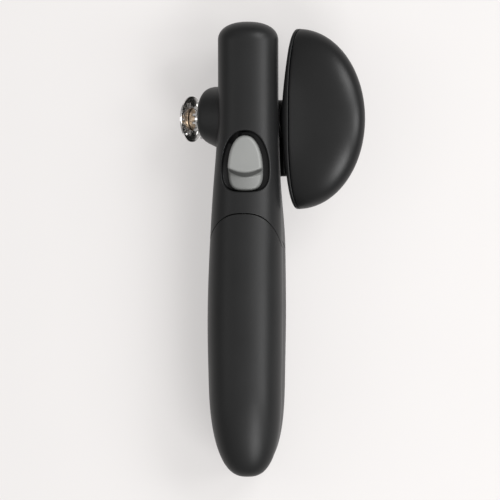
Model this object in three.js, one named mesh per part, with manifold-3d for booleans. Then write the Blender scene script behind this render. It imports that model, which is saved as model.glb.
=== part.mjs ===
// Hand can opener with two long soft-touch handles, a half-moon turning knob,
// a geared pair of wheels (feed wheel below, cutting wheel above) and a sliding lock.
//
// Product frame, millimetres: +Y runs from the grips to the nose, +Z is up from the face the
// opener lies on, +X points to the knob. The origin is on that resting face, under the point
// where the drive shaft crosses the middle plane.
//
// Mechanism frame (s, y, t): s runs along the leaning shafts towards the knob, y is the product's
// Y, and t runs from the drive shaft (t = 0) to the cutter shaft (t = SHAFT_SPACING).

import * as THREE from 'three';
import { mergeVertices } from 'three/addons/utils/BufferGeometryUtils.js';
import Module from 'manifold-3d';

const wasm = await Module();
wasm.setup();

// ---------------------------------------------------------------- driving dimensions

const GAP = 0.3;                 // between pieces that touch or are fastened together
const RUN = 0.3;                 // between a turning or sliding piece and what guides it

// Handles, seen from above
const NOSE_Y = 40.5;             // front of the upper handle
const GRIP_END_Y = -149.6;       // rear of the upper handle
const HEAD_HALF_WIDTH = 12.55;
const GRIP_HALF_WIDTH = 15.8;
const GRIP_OFFSET = -1.5;        // the grips bow this far to the left of the middle plane
const LOWER_SHORTER = 2.2;       // how much sooner the lower handle ends at the rear
const LOWER_NOSE_Y = 37;         // front of the lower handle
const LOWER_HEAD_INSET = 1.4;    // how much narrower the lower handle is on each side at the head

// Handles, seen from the side
const HEAD_TOP = 44.6;
const GRIP_TOP = 42;
const HEAD_PARTING = 22.95;      // height of the joint face between the handles at the head
const GRIP_PARTING = 20.6;
const HANDLE_GAP = 0.7;          // between the closed handles
const REST_STRIP = 0.8;          // depth that the flat resting strip takes off the round belly

// Mechanism
const CANT = THREE.MathUtils.degToRad(24);   // lean of both shafts, knob end up
const DRIVE_HEIGHT = 15.4;       // drive axis above the resting face on the middle plane
const MODULE = 1;
const TEETH = 15;
const GEAR_WIDTH = 2.5;
const FEED_RADIUS = 7;
const FEED_WIDTH = 3;
const FEED_TEETH = 26;
const CUTTER_RADIUS = 9.6;
const CUTTER_THICKNESS = 1.5;
const FACE_GAP = 0.4;            // between the wheels' faces and the boss
const SHEAR_GAP = 0.2;           // between the feed wheel's outer face and the cutting wheel
const DRIVE_SHAFT_RADIUS = 3.8;
const CUTTER_SHAFT_RADIUS = 2.9;
const BEARING_WALL = 1.9;
const BOSS_RADIUS = 13.2;        // round boss that carries the cutter shaft
const BOSS_FACE_S = -12.7;       // flat end of the boss
const KNOB_BOSS_RADIUS = 8;      // round boss between the handle and the knob
const BOSS_TAIL_LENGTH = 24;     // from the drive axis to the rear of the low web behind that boss
const BOSS_TAIL_T = [-7.8, 1];   // bottom and top of the web

// Pivot that joins the handles
const PIVOT_Y = 28;
const PIVOT_T = 8.5;
const PIVOT_RADIUS = 3;
const FRAME_THICKNESS = 2;
const TANG_HEIGHTS = { upper: [11, 19.5], lower: [-8.5, -0.5] };   // t of each frame's tang, low and high
const FRAME_FRONT_PIN_Y = -33;
const FRAME_PIN_RADIUS = 1.6;
const FRAME_REAR_MARGIN = 27;    // from the end of the grips to the frames' rear ends
const UPPER_FRAME_S = 6;         // near face of the upper frame plate
const LOWER_FRAME_S = -3;        // near face of the lower frame plate

// Knob
const KNOB_HALF_LENGTH = 37.7;
const KNOB_DEPTH = 31;           // from its widest plane to the tip of the dome
const KNOB_HALF_THICKNESS = 12;
const KNOB_SIDE_GAP = 0.292;     // between the head's side and the near edge of the knob's back
const KNOB_BACK = 2.8;           // how far its back bulges behind that plane
const KNOB_SPLIT = 1.5;          // joint between dome and back, ahead of that plane
const KNOB_WALL = 2.8;

// Lock
const LOCK_TRAVEL = 1.8;
const RECESS_FRONT_Y = -5;
const RECESS_REAR_Y = -30.6;
const LOCK_X = -0.6;             // middle of the lock, to the left of the middle plane
const RECESS_HALF_WIDTH = 10;
const RECESS_DEPTH = 6.6;        // below the top of the head
const PAD_HALF_WIDTH = 7.2;
const PAD_RISE = 1;              // of the pad above the top of the head
const LEDGE_DROP = 2;            // of the ledge below the top of the head
const PAD_REAR_Y = -22.4;
const HOOK_CLEARANCE = 1.3;      // between the upper frame plate and the latch hook
const HOOK_THICKNESS = 1.5;
const CATCH_Y = -10.5;
const CATCH_T = 1.5;
const CATCH_RADIUS = 1.5;

// ---------------------------------------------------------------- sizes that follow

const PITCH_RADIUS = (MODULE * TEETH) / 2;
const SHAFT_SPACING = 2 * PITCH_RADIUS;
const GEAR_OUTER_S = BOSS_FACE_S - FACE_GAP - GEAR_WIDTH;
const FEED_OUTER_S = GEAR_OUTER_S - FACE_GAP - FEED_WIDTH;
const CUTTER_INNER_S = FEED_OUTER_S - SHEAR_GAP;
const CUTTER_OUTER_S = CUTTER_INNER_S - CUTTER_THICKNESS;
const DRIVE_BORE = DRIVE_SHAFT_RADIUS + RUN;
const DRIVE_BEARING_RADIUS = DRIVE_BORE + BEARING_WALL;
const CUTTER_BORE = CUTTER_SHAFT_RADIUS + RUN;
const CUTTER_BEARING_RADIUS = CUTTER_BORE + BEARING_WALL;
const BOSS_CENTRE_T = SHAFT_SPACING - 2.4;
const BOSS_PARTING_T = PITCH_RADIUS + 0.3;
const KNOB_LEAN = KNOB_HALF_THICKNESS * Math.sin(CANT);
const KNOB_BACK_S = (HEAD_HALF_WIDTH + KNOB_SIDE_GAP + KNOB_LEAN) / Math.cos(CANT);
const KNOB_S = KNOB_BACK_S + KNOB_BACK;      // the knob's widest plane
const KNOB_BOSS_END_S = KNOB_BACK_S - 1.6;
const RECESS_FLOOR = HEAD_TOP - RECESS_DEPTH;
const PAD_TOP = HEAD_TOP + PAD_RISE;
const LEDGE_TOP = HEAD_TOP - LEDGE_DROP;
const PIVOT_BORE = PIVOT_RADIUS + RUN;
const PIVOT_EYE_RADIUS = PIVOT_BORE + 2.9;
const CLIP_THICKNESS = 0.8;
const UPPER_FRAME_END_S = UPPER_FRAME_S + FRAME_THICKNESS;
const LOWER_FRAME_END_S = LOWER_FRAME_S + FRAME_THICKNESS;
const HOOK_S = UPPER_FRAME_END_S + HOOK_CLEARANCE;
const HOOK_END_S = HOOK_S + HOOK_THICKNESS;
const SPINDLE_HEAD_S = UPPER_FRAME_END_S + 1 + RUN;

// ---------------------------------------------------------------- materials

const SOFT_BLACK = new THREE.MeshStandardMaterial({ color: 0x2f2f31, roughness: 0.55, metalness: 0 });
const HARD_BLACK = new THREE.MeshStandardMaterial({ color: 0x2b2b2d, roughness: 0.42, metalness: 0 });
const KNOB_BLACK = new THREE.MeshStandardMaterial({ color: 0x303032, roughness: 0.35, metalness: 0 });
const LOCK_GREY = new THREE.MeshStandardMaterial({ color: 0x9fa19e, roughness: 0.45, metalness: 0 });
const BRIGHT_STEEL = new THREE.MeshStandardMaterial({ color: 0xcfd0d0, roughness: 0.22, metalness: 1 });
const DULL_STEEL = new THREE.MeshStandardMaterial({ color: 0x9a9b9b, roughness: 0.45, metalness: 1 });
const BRONZE = new THREE.MeshStandardMaterial({ color: 0xa8824e, roughness: 0.4, metalness: 1 });

// ---------------------------------------------------------------- solids

// The mechanism frame as a matrix: turned about Y so that s rises towards the knob.
const MECHANISM = new THREE.Matrix4()
  .makeTranslation(0, 0, DRIVE_HEIGHT)
  .multiply(new THREE.Matrix4().makeRotationY(-CANT));

// Positions and triangles of a geometry with shared corners merged and flat slivers dropped.
function weld(geometry) {
  const bare = geometry.clone();
  bare.deleteAttribute('normal');
  bare.deleteAttribute('uv');
  const merged = mergeVertices(bare, 1e-4);
  const corners = Array.from(merged.index.array);
  const triangles = [];
  for (let i = 0; i < corners.length; i += 3) {
    const [a, b, c] = corners.slice(i, i + 3);
    if (a !== b && b !== c && a !== c) triangles.push(a, b, c);
  }
  return { positions: new Float32Array(merged.attributes.position.array), triangles };
}

function signedVolume(positions, triangles) {
  const [a, b, c] = [new THREE.Vector3(), new THREE.Vector3(), new THREE.Vector3()];
  let volume = 0;
  for (let i = 0; i < triangles.length; i += 3) {
    a.fromArray(positions, 3 * triangles[i]);
    b.fromArray(positions, 3 * triangles[i + 1]);
    c.fromArray(positions, 3 * triangles[i + 2]);
    volume += a.dot(b.cross(c)) / 6;
  }
  return volume;
}

// A closed geometry as a solid with its faces pointing out.
function solid(geometry, matrix = null) {
  const { positions, triangles } = weld(matrix ? geometry.clone().applyMatrix4(matrix) : geometry);
  if (signedVolume(positions, triangles) < 0) triangles.reverse();
  const mesh = new wasm.Mesh({
    numProp: 3,
    vertProperties: positions,
    triVerts: new Uint32Array(triangles),
  });
  return new wasm.Manifold(mesh);
}

function geometryOf(body) {
  const mesh = body.getMesh();
  const geometry = new THREE.BufferGeometry();
  geometry.setAttribute('position', new THREE.BufferAttribute(new Float32Array(mesh.vertProperties), 3));
  geometry.setIndex(new THREE.BufferAttribute(new Uint32Array(mesh.triVerts), 1));
  geometry.computeVertexNormals();
  return geometry;
}

// A block between two corners.
function block(low, high, matrix = null) {
  const size = high.map((value, axis) => value - low[axis]);
  const middle = high.map((value, axis) => (value + low[axis]) / 2);
  const geometry = new THREE.BoxGeometry(...size).translate(...middle);
  return solid(geometry, matrix);
}

// A turned piece: its profile of [radius, s] points is spun about the shaft axis at (y, t).
function turned(profile, y = 0, t = 0, segments = 28) {
  const points = profile.map(([radius, s]) => new THREE.Vector2(radius, s));
  const geometry = new THREE.LatheGeometry(points, segments);
  geometry.rotateZ(-Math.PI / 2);
  geometry.translate(0, y, t);
  return solid(geometry);
}

function rod(radius, s0, s1, y = 0, t = 0, segments = 28) {
  return turned([[0, s0], [radius, s0], [radius, s1], [0, s1]], y, t, segments);
}

function tube(bore, radius, s0, s1, y = 0, t = 0, segments = 28) {
  return turned([[bore, s0], [radius, s0], [radius, s1], [bore, s1], [bore, s0]], y, t, segments);
}

// A flat plate: an outline in (y, t) with thickness from s0 to s1.
function plate(shape, s0, s1) {
  const geometry = new THREE.ExtrudeGeometry(shape, {
    depth: s1 - s0, bevelEnabled: false, curveSegments: 20,
  });
  const turn = new THREE.Matrix4().makeBasis(
    new THREE.Vector3(0, 1, 0), new THREE.Vector3(0, 0, 1), new THREE.Vector3(1, 0, 0),
  );
  geometry.applyMatrix4(turn);
  geometry.translate(s0, 0, 0);
  return solid(geometry);
}

// An upright prism: an outline in (x, y) between two heights.
function prism(shape, z0, z1) {
  const geometry = new THREE.ExtrudeGeometry(shape, {
    depth: z1 - z0, bevelEnabled: false, curveSegments: 16,
  });
  geometry.translate(0, 0, z0);
  return solid(geometry);
}

// A skin through rings of equal point count, closed at both ends by fans.
function loft(rings) {
  const count = rings[0].length;
  const positions = rings.flat().flatMap((point) => point.toArray());
  const index = [];
  for (let ring = 0; ring + 1 < rings.length; ring += 1) {
    for (let i = 0; i < count; i += 1) {
      const j = (i + 1) % count;
      const a = ring * count + i;
      const b = ring * count + j;
      index.push(a, b, b + count, a, b + count, a + count);
    }
  }
  [0, rings.length - 1].forEach((ring) => {
    const centre = new THREE.Vector3();
    rings[ring].forEach((point) => centre.addScaledVector(point, 1 / count));
    const hub = positions.length / 3;
    positions.push(...centre.toArray());
    for (let i = 0; i < count; i += 1) {
      const pair = [ring * count + ((i + 1) % count), ring * count + i];
      if (ring > 0) pair.reverse();
      index.push(hub, ...pair);
    }
  });
  const geometry = new THREE.BufferGeometry();
  geometry.setAttribute('position', new THREE.Float32BufferAttribute(positions, 3));
  geometry.setIndex(index);
  return solid(geometry);
}

const placed = (body) => body.transform(MECHANISM.elements);

// ---------------------------------------------------------------- handle skins

// A smooth curve through [place, value] points, as a function of place.
function smooth(points) {
  const slope = (i) => {
    const before = points[Math.max(i - 1, 0)];
    const after = points[Math.min(i + 1, points.length - 1)];
    return (after[1] - before[1]) / (after[0] - before[0]);
  };
  return (place) => {
    const last = points.length - 2;
    const next = points.findIndex(([knot]) => knot > place) - 1;
    const i = next < -1 ? last : THREE.MathUtils.clamp(next, 0, last);
    const span = points[i + 1][0] - points[i][0];
    const u = THREE.MathUtils.clamp((place - points[i][0]) / span, 0, 1);
    const rise = points[i + 1][1] - points[i][1];
    return points[i][1] + rise * u * u * (3 - 2 * u)
      + span * u * (1 - u) * (slope(i) * (1 - u) - slope(i + 1) * u);
  };
}

const GRIP_LENGTH = -GRIP_END_Y;
const halfWidthAt = smooth([
  [GRIP_END_Y, GRIP_HALF_WIDTH - 1.2],
  [-0.76 * GRIP_LENGTH, GRIP_HALF_WIDTH - 0.5],
  [-0.56 * GRIP_LENGTH, GRIP_HALF_WIDTH],
  [-0.4 * GRIP_LENGTH, GRIP_HALF_WIDTH - 0.4],
  [-36, HEAD_HALF_WIDTH + 0.6 * (GRIP_HALF_WIDTH - HEAD_HALF_WIDTH)],
  [-6, HEAD_HALF_WIDTH + 0.08 * (GRIP_HALF_WIDTH - HEAD_HALF_WIDTH)],
  [8, HEAD_HALF_WIDTH],
  [NOSE_Y, HEAD_HALF_WIDTH],
]);
const lowerInsetAt = smooth([
  [GRIP_END_Y, 0], [-0.36 * GRIP_LENGTH, 0], [-BOSS_TAIL_LENGTH, LOWER_HEAD_INSET],
  [NOSE_Y, LOWER_HEAD_INSET],
]);
const offsetAt = smooth([
  [GRIP_END_Y, 0.4 * GRIP_OFFSET], [-0.76 * GRIP_LENGTH, GRIP_OFFSET],
  [-0.5 * GRIP_LENGTH, GRIP_OFFSET],
  [-36, 0.45 * GRIP_OFFSET], [-5, 0], [NOSE_Y, 0],
]);
const topAt = smooth([
  [GRIP_END_Y, GRIP_TOP - 3], [-0.8 * GRIP_LENGTH, GRIP_TOP - 0.8], [-0.5 * GRIP_LENGTH, GRIP_TOP],
  [-20, HEAD_TOP], [NOSE_Y, HEAD_TOP - 0.4],
]);
const shoulderAt = smooth([
  [GRIP_END_Y, GRIP_TOP - 14], [-0.5 * GRIP_LENGTH, GRIP_TOP - 14.4], [-36, HEAD_TOP - 12.6],
  [-8, HEAD_TOP - 10], [NOSE_Y, HEAD_TOP - 10],
]);
const partingAt = smooth([
  [GRIP_END_Y, GRIP_PARTING], [-0.42 * GRIP_LENGTH, GRIP_PARTING],
  [-18, HEAD_PARTING], [NOSE_Y, HEAD_PARTING],
]);

// Rounding of a handle's end: 1 along its length, falling to 0 at the tip as a rounded square does.
function endScale(y, tipY, length, squareness) {
  const into = 1 - Math.abs(tipY - y) / length;
  return into <= 0 ? 1 : (1 - Math.min(into, 0.9995) ** squareness) ** (1 / squareness);
}

const NOSE_ROUND = 8;
const REAR_ROUND = 39.6;
const NOSE_SQUARENESS = 2.3;
const REAR_SQUARENESS = 2.6;
const CROWN_SQUARENESS = 2.15;
const BELLY_SQUARENESS = 2.6;

function handleScale(y, noseY, rearY) {
  return Math.min(
    endScale(y, noseY, NOSE_ROUND, NOSE_SQUARENESS),
    endScale(y, rearY, REAR_ROUND, REAR_SQUARENESS),
  );
}

// Places of the rings: crowded towards the round ends.
function ringPlaces(noseY, rearY) {
  const from = noseY - NOSE_ROUND;
  const to = rearY + REAR_ROUND;
  const [front, middle, rear] = [5, 10, 6];
  const places = [];
  for (let i = 0; i <= front; i += 1) {
    places.push(from + NOSE_ROUND * Math.cos((Math.PI / 2) * (i / front)));
  }
  for (let i = 1; i < middle; i += 1) {
    places.push(from + ((to - from) * i) / middle);
  }
  for (let i = 0; i <= rear; i += 1) {
    places.push(to - REAR_ROUND * Math.sin((Math.PI / 2) * (i / rear)));
  }
  return places;
}

const signedPower = (value, power) => Math.sign(value) * Math.abs(value) ** power;

// One closed outline across a handle. side is +1 for the upper handle and -1 for the lower one.
function handleRing(y, scale, side, jointZ, shoulderZ, farZ, squareness, limitZ) {
  const inset = side > 0 ? 0 : lowerInsetAt(y);
  const half = Math.max((halfWidthAt(y) - inset) * scale, 0.05);
  const middle = offsetAt(y);
  const crown = (farZ - shoulderZ) * scale;
  const steps = 14;
  const ring = [];
  for (let i = 0; i <= steps; i += 1) {
    const angle = (Math.PI * i) / steps;
    const x = half * signedPower(Math.cos(angle), 2 / squareness);
    const z = shoulderZ + crown * signedPower(Math.sin(angle), 2 / squareness);
    ring.push(new THREE.Vector3(middle + x, y, side > 0 ? z : Math.max(z, limitZ)));
  }
  const tuck = 0.955;
  const halfway = (shoulderZ + jointZ) / 2;
  ring.push(new THREE.Vector3(middle - half * 0.988, y, halfway));
  ring.push(new THREE.Vector3(middle - half * tuck, y, jointZ));
  ring.push(new THREE.Vector3(middle + half * tuck, y, jointZ));
  ring.push(new THREE.Vector3(middle + half * 0.988, y, halfway));
  return ring;
}

function upperSkin() {
  return loft(ringPlaces(NOSE_Y, GRIP_END_Y).map((y) => handleRing(
    y, handleScale(y, NOSE_Y, GRIP_END_Y), 1,
    partingAt(y) + HANDLE_GAP / 2, shoulderAt(y), topAt(y), CROWN_SQUARENESS, 0,
  )));
}

const LOWER_REAR_Y = GRIP_END_Y + LOWER_SHORTER;
const BELLY_SHOULDER = 12;
// The lower handle's joint face drops ahead of the pivot, to leave room for the upper nose to dip.
const noseDrop = (y) => Math.max(0, y - (PIVOT_Y - 3)) * Math.tan(THREE.MathUtils.degToRad(14));

function lowerSkin() {
  return loft(ringPlaces(LOWER_NOSE_Y, LOWER_REAR_Y).map((y) => handleRing(
    y, handleScale(y, LOWER_NOSE_Y, LOWER_REAR_Y), -1,
    partingAt(y) - HANDLE_GAP / 2 - noseDrop(y), BELLY_SHOULDER, -REST_STRIP, BELLY_SQUARENESS, 0,
  )));
}

// Outline, seen from above, of everything behind the curved joint between housing and grip.
const JOINT_FRONT_Y = -39.7;
const JOINT_LENGTH = 28;
const JOINT_SQUARENESS = 2.6;
function gripRegion(inset) {
  const half = GRIP_HALF_WIDTH + 0.8 - inset;
  const shape = new THREE.Shape();
  const far = GRIP_END_Y - 20;
  const side = JOINT_FRONT_Y - JOINT_LENGTH;
  shape.moveTo(offsetAt(side) - half, far);
  shape.lineTo(offsetAt(side) + half, far);
  const steps = 20;
  for (let i = 0; i <= steps; i += 1) {
    const angle = (Math.PI * i) / steps;
    const x = half * signedPower(Math.cos(angle), 2 / JOINT_SQUARENESS);
    const y = (JOINT_LENGTH - inset) * signedPower(Math.sin(angle), 2 / JOINT_SQUARENESS);
    shape.lineTo(offsetAt(side) + x, side + y);
  }
  return prism(shape, -10, HEAD_TOP + 20);
}

// ---------------------------------------------------------------- frames

// Outline of a frame plate: an eye about its shaft, an eye about the pivot and a tang to the rear.
function frameShape(shaftT, eyeRadius, tangLow, tangHigh, grow, rearY) {
  const shape = new THREE.Shape();
  const eye = eyeRadius + grow;
  const low = tangLow - grow;
  const high = tangHigh + grow;
  const rear = rearY - grow;
  const pivotEye = PIVOT_EYE_RADIUS + grow;
  const up = shaftT > PIVOT_T ? 1 : -1;
  const [near, farSide] = up > 0 ? [low, high] : [high, low];
  shape.moveTo(rear, near);
  shape.lineTo(-eye - 2, near);
  shape.lineTo(-eye * 0.7, shaftT - up * eye * 0.7);
  shape.lineTo(eye * 0.5, shaftT - up * eye * 0.86);
  shape.lineTo(PIVOT_Y - pivotEye * 0.8, PIVOT_T - up * pivotEye * 0.6);
  const turn = up > 0 ? -0.75 * Math.PI : 0.75 * Math.PI;
  const steps = 12;
  for (let i = 0; i <= steps; i += 1) {
    const angle = turn + up * (Math.PI * 1.3 * i) / steps;
    shape.lineTo(PIVOT_Y + pivotEye * Math.cos(angle), PIVOT_T + pivotEye * Math.sin(angle));
  }
  for (let i = 0; i <= steps; i += 1) {
    const angle = up * (0.3 + (0.45 * i) / steps) * Math.PI;
    shape.lineTo(eye * Math.cos(angle), shaftT + eye * Math.sin(angle));
  }
  shape.lineTo(-eye - 4, farSide);
  shape.lineTo(rear, farSide);
  shape.closePath();
  return shape;
}

const UPPER_EYE = CUTTER_BEARING_RADIUS + GAP + 2;
const LOWER_EYE = DRIVE_BEARING_RADIUS + GAP + 2.2;
const FRAME_REAR_Y = GRIP_END_Y + FRAME_REAR_MARGIN;
const FRAME_PINS_Y = [FRAME_FRONT_PIN_Y, FRAME_REAR_Y + 18];
const FRAME_PIN_OVERHANG = 3.5;

function upperFrameBlank(grow, s0, s1) {
  return plate(frameShape(SHAFT_SPACING, UPPER_EYE, ...TANG_HEIGHTS.upper, grow, FRAME_REAR_Y), s0, s1);
}

function lowerFrameBlank(grow, s0, s1) {
  return plate(frameShape(0, LOWER_EYE, ...TANG_HEIGHTS.lower, grow, FRAME_REAR_Y), s0, s1);
}

const tangMiddle = ([low, high]) => (low + high) / 2;

function framePin(s, y, tang, grow) {
  const reach = FRAME_PIN_OVERHANG + grow;
  return rod(FRAME_PIN_RADIUS + grow, s - reach, s + FRAME_THICKNESS + reach, y, tangMiddle(tang), 20);
}

function upperFrame() {
  const holes = [
    rod(CUTTER_BEARING_RADIUS + GAP, UPPER_FRAME_S - 1, UPPER_FRAME_END_S + 1, 0, SHAFT_SPACING),
    rod(PIVOT_BORE, UPPER_FRAME_S - 1, UPPER_FRAME_END_S + 1, PIVOT_Y, PIVOT_T),
    ...FRAME_PINS_Y.map((y) => framePin(UPPER_FRAME_S, y, TANG_HEIGHTS.upper, GAP)),
  ];
  return cut(upperFrameBlank(0, UPPER_FRAME_S, UPPER_FRAME_END_S), holes);
}

function lowerFrame() {
  const holes = [
    rod(DRIVE_BEARING_RADIUS + GAP, LOWER_FRAME_S - 1, LOWER_FRAME_END_S + 1),
    rod(PIVOT_RADIUS + GAP, LOWER_FRAME_S - 1, LOWER_FRAME_END_S + 1, PIVOT_Y, PIVOT_T),
    rod(CATCH_RADIUS + GAP, LOWER_FRAME_S - 1, LOWER_FRAME_END_S + 1, CATCH_Y, CATCH_T),
    ...FRAME_PINS_Y.map((y) => framePin(LOWER_FRAME_S, y, TANG_HEIGHTS.lower, GAP)),
  ];
  return cut(lowerFrameBlank(0, LOWER_FRAME_S, LOWER_FRAME_END_S), holes);
}

function cut(body, tools) {
  return tools.reduce((rest, tool) => rest.subtract(tool), body);
}

function join(bodies) {
  return bodies.reduce((whole, body) => whole.add(body));
}

// A retaining ring on the pivot pin, from s onwards.
function pivotClip(s) {
  return tube(PIVOT_BORE, PIVOT_EYE_RADIUS - 1, s, s + CLIP_THICKNESS, PIVOT_Y, PIVOT_T, 24);
}

// ---------------------------------------------------------------- lock outlines

// Egg-shaped outline: an arch at the front, nearly straight sides and a flatter rounded rear.
function eggShape(halfWidth, frontY, rearY) {
  const shape = new THREE.Shape();
  const waistY = rearY + 0.36 * (frontY - rearY);
  const steps = 18;
  for (let i = 0; i <= steps; i += 1) {
    const angle = (Math.PI * i) / steps;
    const x = LOCK_X + halfWidth * signedPower(Math.cos(angle), 0.9);
    const y = waistY + (frontY - waistY) * signedPower(Math.sin(angle), 0.95);
    shape[i ? 'lineTo' : 'moveTo'](x, y);
  }
  for (let i = 1; i < steps; i += 1) {
    const angle = Math.PI + (Math.PI * i) / steps;
    const x = LOCK_X + halfWidth * signedPower(Math.cos(angle), 0.62);
    const y = waistY + (waistY - rearY) * signedPower(Math.sin(angle), 0.7);
    shape.lineTo(x, y);
  }
  shape.closePath();
  return shape;
}

const PAD_FRONT_Y = RECESS_FRONT_Y - LOCK_TRAVEL - GAP;
const LEDGE_REAR_Y = RECESS_REAR_Y + 0.5;
const HOOK_STEM = [PAD_REAR_Y + 3.4, PAD_REAR_Y + 6.8];
const HOOK_TOP_Z = RECESS_FLOOR + 2.56;      // how high the hook's stem reaches into the button
const HOOK_TOP_T = (HOOK_TOP_Z - DRIVE_HEIGHT - HOOK_S * Math.sin(CANT)) / Math.cos(CANT);
const DETENT_X = [-PAD_HALF_WIDTH + 1.6, -PAD_HALF_WIDTH + 4.2];
const DETENT_Y = [RECESS_REAR_Y + 2.6, RECESS_REAR_Y + 15.6];
const DETENT_DEPTH = 1.5;
const DETENT_THICKNESS = 0.5;
const CATCH_CLEARANCE = 0.4;     // between the hook and the catch pin
const HOOK_LIP = 1.8;
const HOOK_LOW_T = CATCH_T - CATCH_RADIUS - CATCH_CLEARANCE - HOOK_LIP;

function lockButton() {
  const whole = prism(eggShape(PAD_HALF_WIDTH, PAD_FRONT_Y, LEDGE_REAR_Y), RECESS_FLOOR + RUN, PAD_TOP);
  const behindPad = block([-20, LEDGE_REAR_Y - 5, LEDGE_TOP], [20, PAD_REAR_Y, PAD_TOP + 5]);
  const slot = block(
    [HOOK_S - GAP, HOOK_STEM[0] - GAP, HOOK_TOP_T - 11],
    [HOOK_END_S + GAP, HOOK_STEM[1] + GAP, HOOK_TOP_T + GAP], MECHANISM,
  );
  return cut(whole, [behindPad, slot]);
}

// Bowed strip under the button; its hump presses on the button's underside.
function detentStrip() {
  const [rear, front] = DETENT_Y;
  const base = RECESS_FLOOR - DETENT_DEPTH + GAP;
  const shape = new THREE.Shape();
  const steps = 8;
  const hump = (u) => (DETENT_DEPTH - GAP - DETENT_THICKNESS) * Math.sin(Math.PI * u) ** 2;
  for (let i = 0; i <= steps; i += 1) {
    shape[i ? 'lineTo' : 'moveTo'](rear + ((front - rear) * i) / steps, base + hump(i / steps));
  }
  for (let i = steps; i >= 0; i -= 1) {
    shape.lineTo(rear + ((front - rear) * i) / steps, base + hump(i / steps) + DETENT_THICKNESS);
  }
  shape.closePath();
  return plate(shape, ...DETENT_X);
}

function latchHook() {
  const [rear, front] = HOOK_STEM;
  const tip = CATCH_Y - CATCH_RADIUS - CATCH_CLEARANCE;
  const shape = new THREE.Shape();
  shape.moveTo(rear, HOOK_TOP_T);
  shape.lineTo(rear, HOOK_LOW_T + 1);
  shape.lineTo(rear + 1, HOOK_LOW_T);
  shape.lineTo(tip, HOOK_LOW_T);
  shape.lineTo(tip, CATCH_T - CATCH_RADIUS - CATCH_CLEARANCE);
  shape.lineTo(front, CATCH_T - CATCH_RADIUS - CATCH_CLEARANCE);
  shape.lineTo(front, HOOK_TOP_T);
  shape.closePath();
  return plate(shape, HOOK_S, HOOK_END_S);
}

// ---------------------------------------------------------------- housings and grips

const MECH_REACH = 60;           // beyond everything, for tools that open a side
const CLIP_ROOM = 1.6;           // past the clips at the ends of the pivot
const EYE_ROOM = 1.2;            // round the pivot eyes
const SIDE_ROOM = 0.5;           // beside a plate that moves past
const ARCH_ROOM = 1.6;           // each side of the knob's boss
const HOOK_ROOM = 0.4;           // beside the hook in the lower handle

function mechBlock(low, high) {
  return block(low, high, MECHANISM);
}

// Round room for the pivot's eyes, clips and spacer.
function pivotRoom() {
  const [start, end] = [LOWER_FRAME_S - CLIP_ROOM, UPPER_FRAME_END_S + CLIP_ROOM];
  return rod(PIVOT_EYE_RADIUS + EYE_ROOM, start, end, PIVOT_Y, PIVOT_T);
}

// Everything that is cut out of the upper handle.
function upperPockets() {
  const [rear, front] = HOOK_STEM;
  return [
    // Plate slot, open below, and the pivot's clips, spacer and the lower frame's eye
    placed(upperFrameBlank(GAP, UPPER_FRAME_S - GAP, UPPER_FRAME_END_S + GAP)),
    mechBlock(
      [UPPER_FRAME_S - GAP, PIVOT_Y - 22, PIVOT_T - 12],
      [UPPER_FRAME_END_S + GAP, PIVOT_Y, PIVOT_T + 2],
    ),
    // Arch over the boss that carries the knob
    mechBlock(
      [2.2, -KNOB_BOSS_RADIUS - ARCH_ROOM, -MECH_REACH],
      [MECH_REACH, KNOB_BOSS_RADIUS + ARCH_ROOM, KNOB_BOSS_RADIUS + HANDLE_GAP],
    ),
    placed(pivotRoom()),
    placed(rod(PIVOT_BORE, -MECH_REACH, PIVOT_PIN_S[1] + RUN, PIVOT_Y, PIVOT_T)),
    placed(lowerEyeSweep()),
    // Cutter shaft
    placed(rod(CUTTER_BEARING_RADIUS + GAP, BOSS_FACE_S - 5, SPINDLE_HEAD_S, 0, SHAFT_SPACING)),
    placed(rod(CUTTER_SHAFT_RADIUS + 2, SPINDLE_HEAD_S - RUN, SPINDLE_HEAD_S + 2, 0, SHAFT_SPACING)),
    // Lock
    prism(eggShape(RECESS_HALF_WIDTH, RECESS_FRONT_Y, RECESS_REAR_Y), RECESS_FLOOR, HEAD_TOP + 20),
    block(
      [DETENT_X[0] - GAP, DETENT_Y[0] - GAP, RECESS_FLOOR - DETENT_DEPTH],
      [DETENT_X[1] + GAP, DETENT_Y[1] + GAP, RECESS_FLOOR + 1],
    ),
    mechBlock(
      [HOOK_S - RUN, rear - RUN, HOOK_LOW_T - 6],
      [HOOK_END_S + RUN, front + LOCK_TRAVEL + RUN, HOOK_TOP_T + 1],
    ),
    mechBlock(
      [HOOK_S - RUN, rear - RUN, HOOK_LOW_T - 6],
      [HOOK_END_S + RUN, CATCH_Y + 3, PIVOT_T + 1],
    ),
    // Frame pins
    ...FRAME_PINS_Y.map((y) => placed(framePin(UPPER_FRAME_S, y, TANG_HEIGHTS.upper, GAP))),
  ];
}

const PIVOT_PIN_S = [-8, 12.5];

// Room for the lower frame's pivot eye while the upper handle turns about it.
function lowerEyeSweep() {
  const half = PIVOT_EYE_RADIUS + EYE_ROOM;
  return block(
    [LOWER_FRAME_S - SIDE_ROOM, PIVOT_Y - 24, PIVOT_T - 14],
    [LOWER_FRAME_END_S + SIDE_ROOM, PIVOT_Y, PIVOT_T + half],
  );
}

function upperBoss() {
  const boss = placed(rod(BOSS_RADIUS, BOSS_FACE_S, 8, 0, BOSS_CENTRE_T, 40));
  const rightOfSkin = block([-HEAD_HALF_WIDTH + 0.9, -60, -60], [60, 60, 90]);
  const below = mechBlock(
    [-MECH_REACH, -MECH_REACH, -MECH_REACH],
    [MECH_REACH, MECH_REACH, BOSS_PARTING_T],
  );
  return cut(boss, [rightOfSkin, below]);
}

// Head and front of the upper handle, with the boss for the cutting wheel on its left side.
function upperHousing() {
  const shell = cut(upperSkin(), [gripRegion(0)]);
  return cut(join([shell, upperBoss()]), upperPockets());
}

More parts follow.
